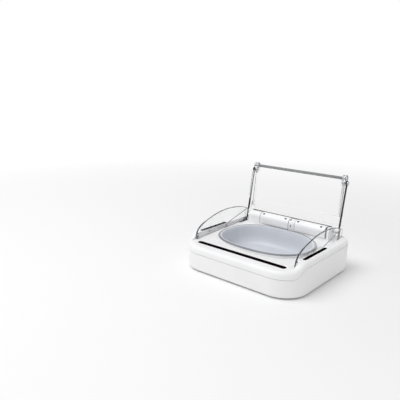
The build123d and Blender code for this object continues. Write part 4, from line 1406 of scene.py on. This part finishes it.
@dataclass
class Studio:
    """The floor, the lamp and the camera. Sizes here are in metres."""

    camera_at: Point = (0.4251, -0.6658, 0.3201)
    azimuth_deg: float = 41.16
    elevation_deg: float = 14.33
    roll_deg: float = 0.81
    lens_mm: float = 42.06
    sensor_mm: float = 36.0
    nearest: float = 0.01
    floor_radius: float = 6.0
    floor_gap: float = 0.0002
    floor_fade: Pair = (0.25, 1.2)
    sky: float = 0.60
    key_at: Point = (-0.45, -0.75, 1.55)
    key_size: float = 1.3
    key_power: float = 14.6
    aim: Point = (0.0, 0.0, 0.05)

    def build(self) -> None:
        """Builds all of it."""
        self.add_camera()
        self.add_world()
        self.add_floor()
        self.add_key()
        log.info("studio: camera, floor and lamp")

    def add_camera(self) -> None:
        """Puts the camera at the photograph's angle."""
        azimuth = math.radians(self.azimuth_deg)
        elevation = math.radians(self.elevation_deg)
        roll = math.radians(self.roll_deg)
        reach = math.cos(elevation)
        ahead = Vector((-math.sin(azimuth) * reach, math.cos(azimuth) * reach, -math.sin(elevation)))
        level = Vector((math.cos(azimuth), math.sin(azimuth), 0))
        down = ahead.cross(level)
        across = math.cos(roll) * level - math.sin(roll) * down
        upright = -(math.sin(roll) * level + math.cos(roll) * down)
        data = bpy.data.cameras.new("photo_view")
        data.lens = self.lens_mm
        data.sensor_width = self.sensor_mm
        data.clip_start = self.nearest
        camera = bpy.data.objects.new("photo_view", data)
        bpy.context.scene.collection.objects.link(camera)
        turn = Matrix((across, upright, -ahead)).transposed()
        camera.matrix_world = Matrix.Translation(self.camera_at) @ turn.to_4x4()
        bpy.context.scene.camera = camera

    def add_world(self) -> None:
        """White to the eye and in gloss and clear plastic, and a plainer level as light."""
        world = bpy.data.worlds.new("soft_white")
        bpy.context.scene.world = world
        world.use_nodes = True
        tree = world.node_tree
        tree.nodes.clear()
        path = add_node(tree, "ShaderNodeLightPath")
        shown = path.outputs["Is Camera Ray"]
        for ray in ("Is Transmission Ray", "Is Glossy Ray"):
            links = {0: shown, 1: path.outputs[ray]}
            shown = add_node(tree, "ShaderNodeMath", {"operation": "MAXIMUM"}, links).outputs[0]
        light = add_node(tree, "ShaderNodeBackground", {"Color": linear("FFFFFF"), "Strength": self.sky})
        sight = add_node(tree, "ShaderNodeBackground", {"Color": linear("FFFFFF"), "Strength": 1.0})
        links = {0: shown, 1: light.outputs[0], 2: sight.outputs[0]}
        mixed = add_node(tree, "ShaderNodeMixShader", {}, links)
        add_node(tree, "ShaderNodeOutputWorld", {}, {"Surface": mixed.outputs[0]})

    def add_floor(self) -> None:
        """A pale floor that keeps the bowl's shadow and fades to white far off."""
        mesh = bpy.data.meshes.new("floor")
        shape = bmesh.new()
        bmesh.ops.create_circle(shape, cap_ends=True, segments=96, radius=self.floor_radius)
        shape.to_mesh(mesh)
        shape.free()
        floor = bpy.data.objects.new("floor", mesh)
        bpy.context.scene.collection.objects.link(floor)
        floor.location.z = -self.floor_gap
        material, tree = blank_material("floor_matt_white")
        place = add_node(tree, "ShaderNodeTexCoord").outputs["Object"]
        distance = add_node(tree, "ShaderNodeVectorMath", {"operation": "LENGTH"}, {0: place})
        reach = {"From Min": self.floor_fade[0], "From Max": self.floor_fade[1], "To Min": 0.0, "To Max": 1.0}
        fade = add_node(tree, "ShaderNodeMapRange", reach, {"Value": distance.outputs["Value"]})
        lit = add_node(tree, "ShaderNodeBsdfDiffuse", {"Color": linear("FAFAFA")})
        white = add_node(tree, "ShaderNodeEmission", {"Color": linear("FFFFFF"), "Strength": 1.0})
        links = {0: fade.outputs["Result"], 1: lit.outputs[0], 2: white.outputs[0]}
        mixed = add_node(tree, "ShaderNodeMixShader", {}, links)
        add_node(tree, "ShaderNodeOutputMaterial", {}, {"Surface": mixed.outputs[0]})
        mesh.materials.append(material)

    def add_key(self) -> None:
        """Adds the square area lamp that faces the bowl."""
        data = bpy.data.lights.new("key", "AREA")
        data.energy = self.key_power
        data.size = self.key_size
        lamp = bpy.data.objects.new("key", data)
        bpy.context.scene.collection.objects.link(lamp)
        lamp.location = self.key_at
        lamp.rotation_mode = "QUATERNION"
        lamp.rotation_quaternion = (Vector(self.aim) - Vector(self.key_at)).to_track_quat("-Z", "Y")


def main() -> None:
    """Builds the studio and each sub-assembly in turn."""
    logging.basicConfig(level=logging.INFO, format="%(message)s")
    bpy.context.scene.view_settings.view_transform = "Standard"
    parts = (
        Studio(), Housing(), FeedingBowl(), SideGuards(), HingeUnit(), FoldingLid(), LidLinks(), LidDrive(),
        BatteryBay(), Electronics(), RearButtons(), Fixings(),
    )
    for part in parts:
        part.build()


if __name__ == "__main__":
    main()
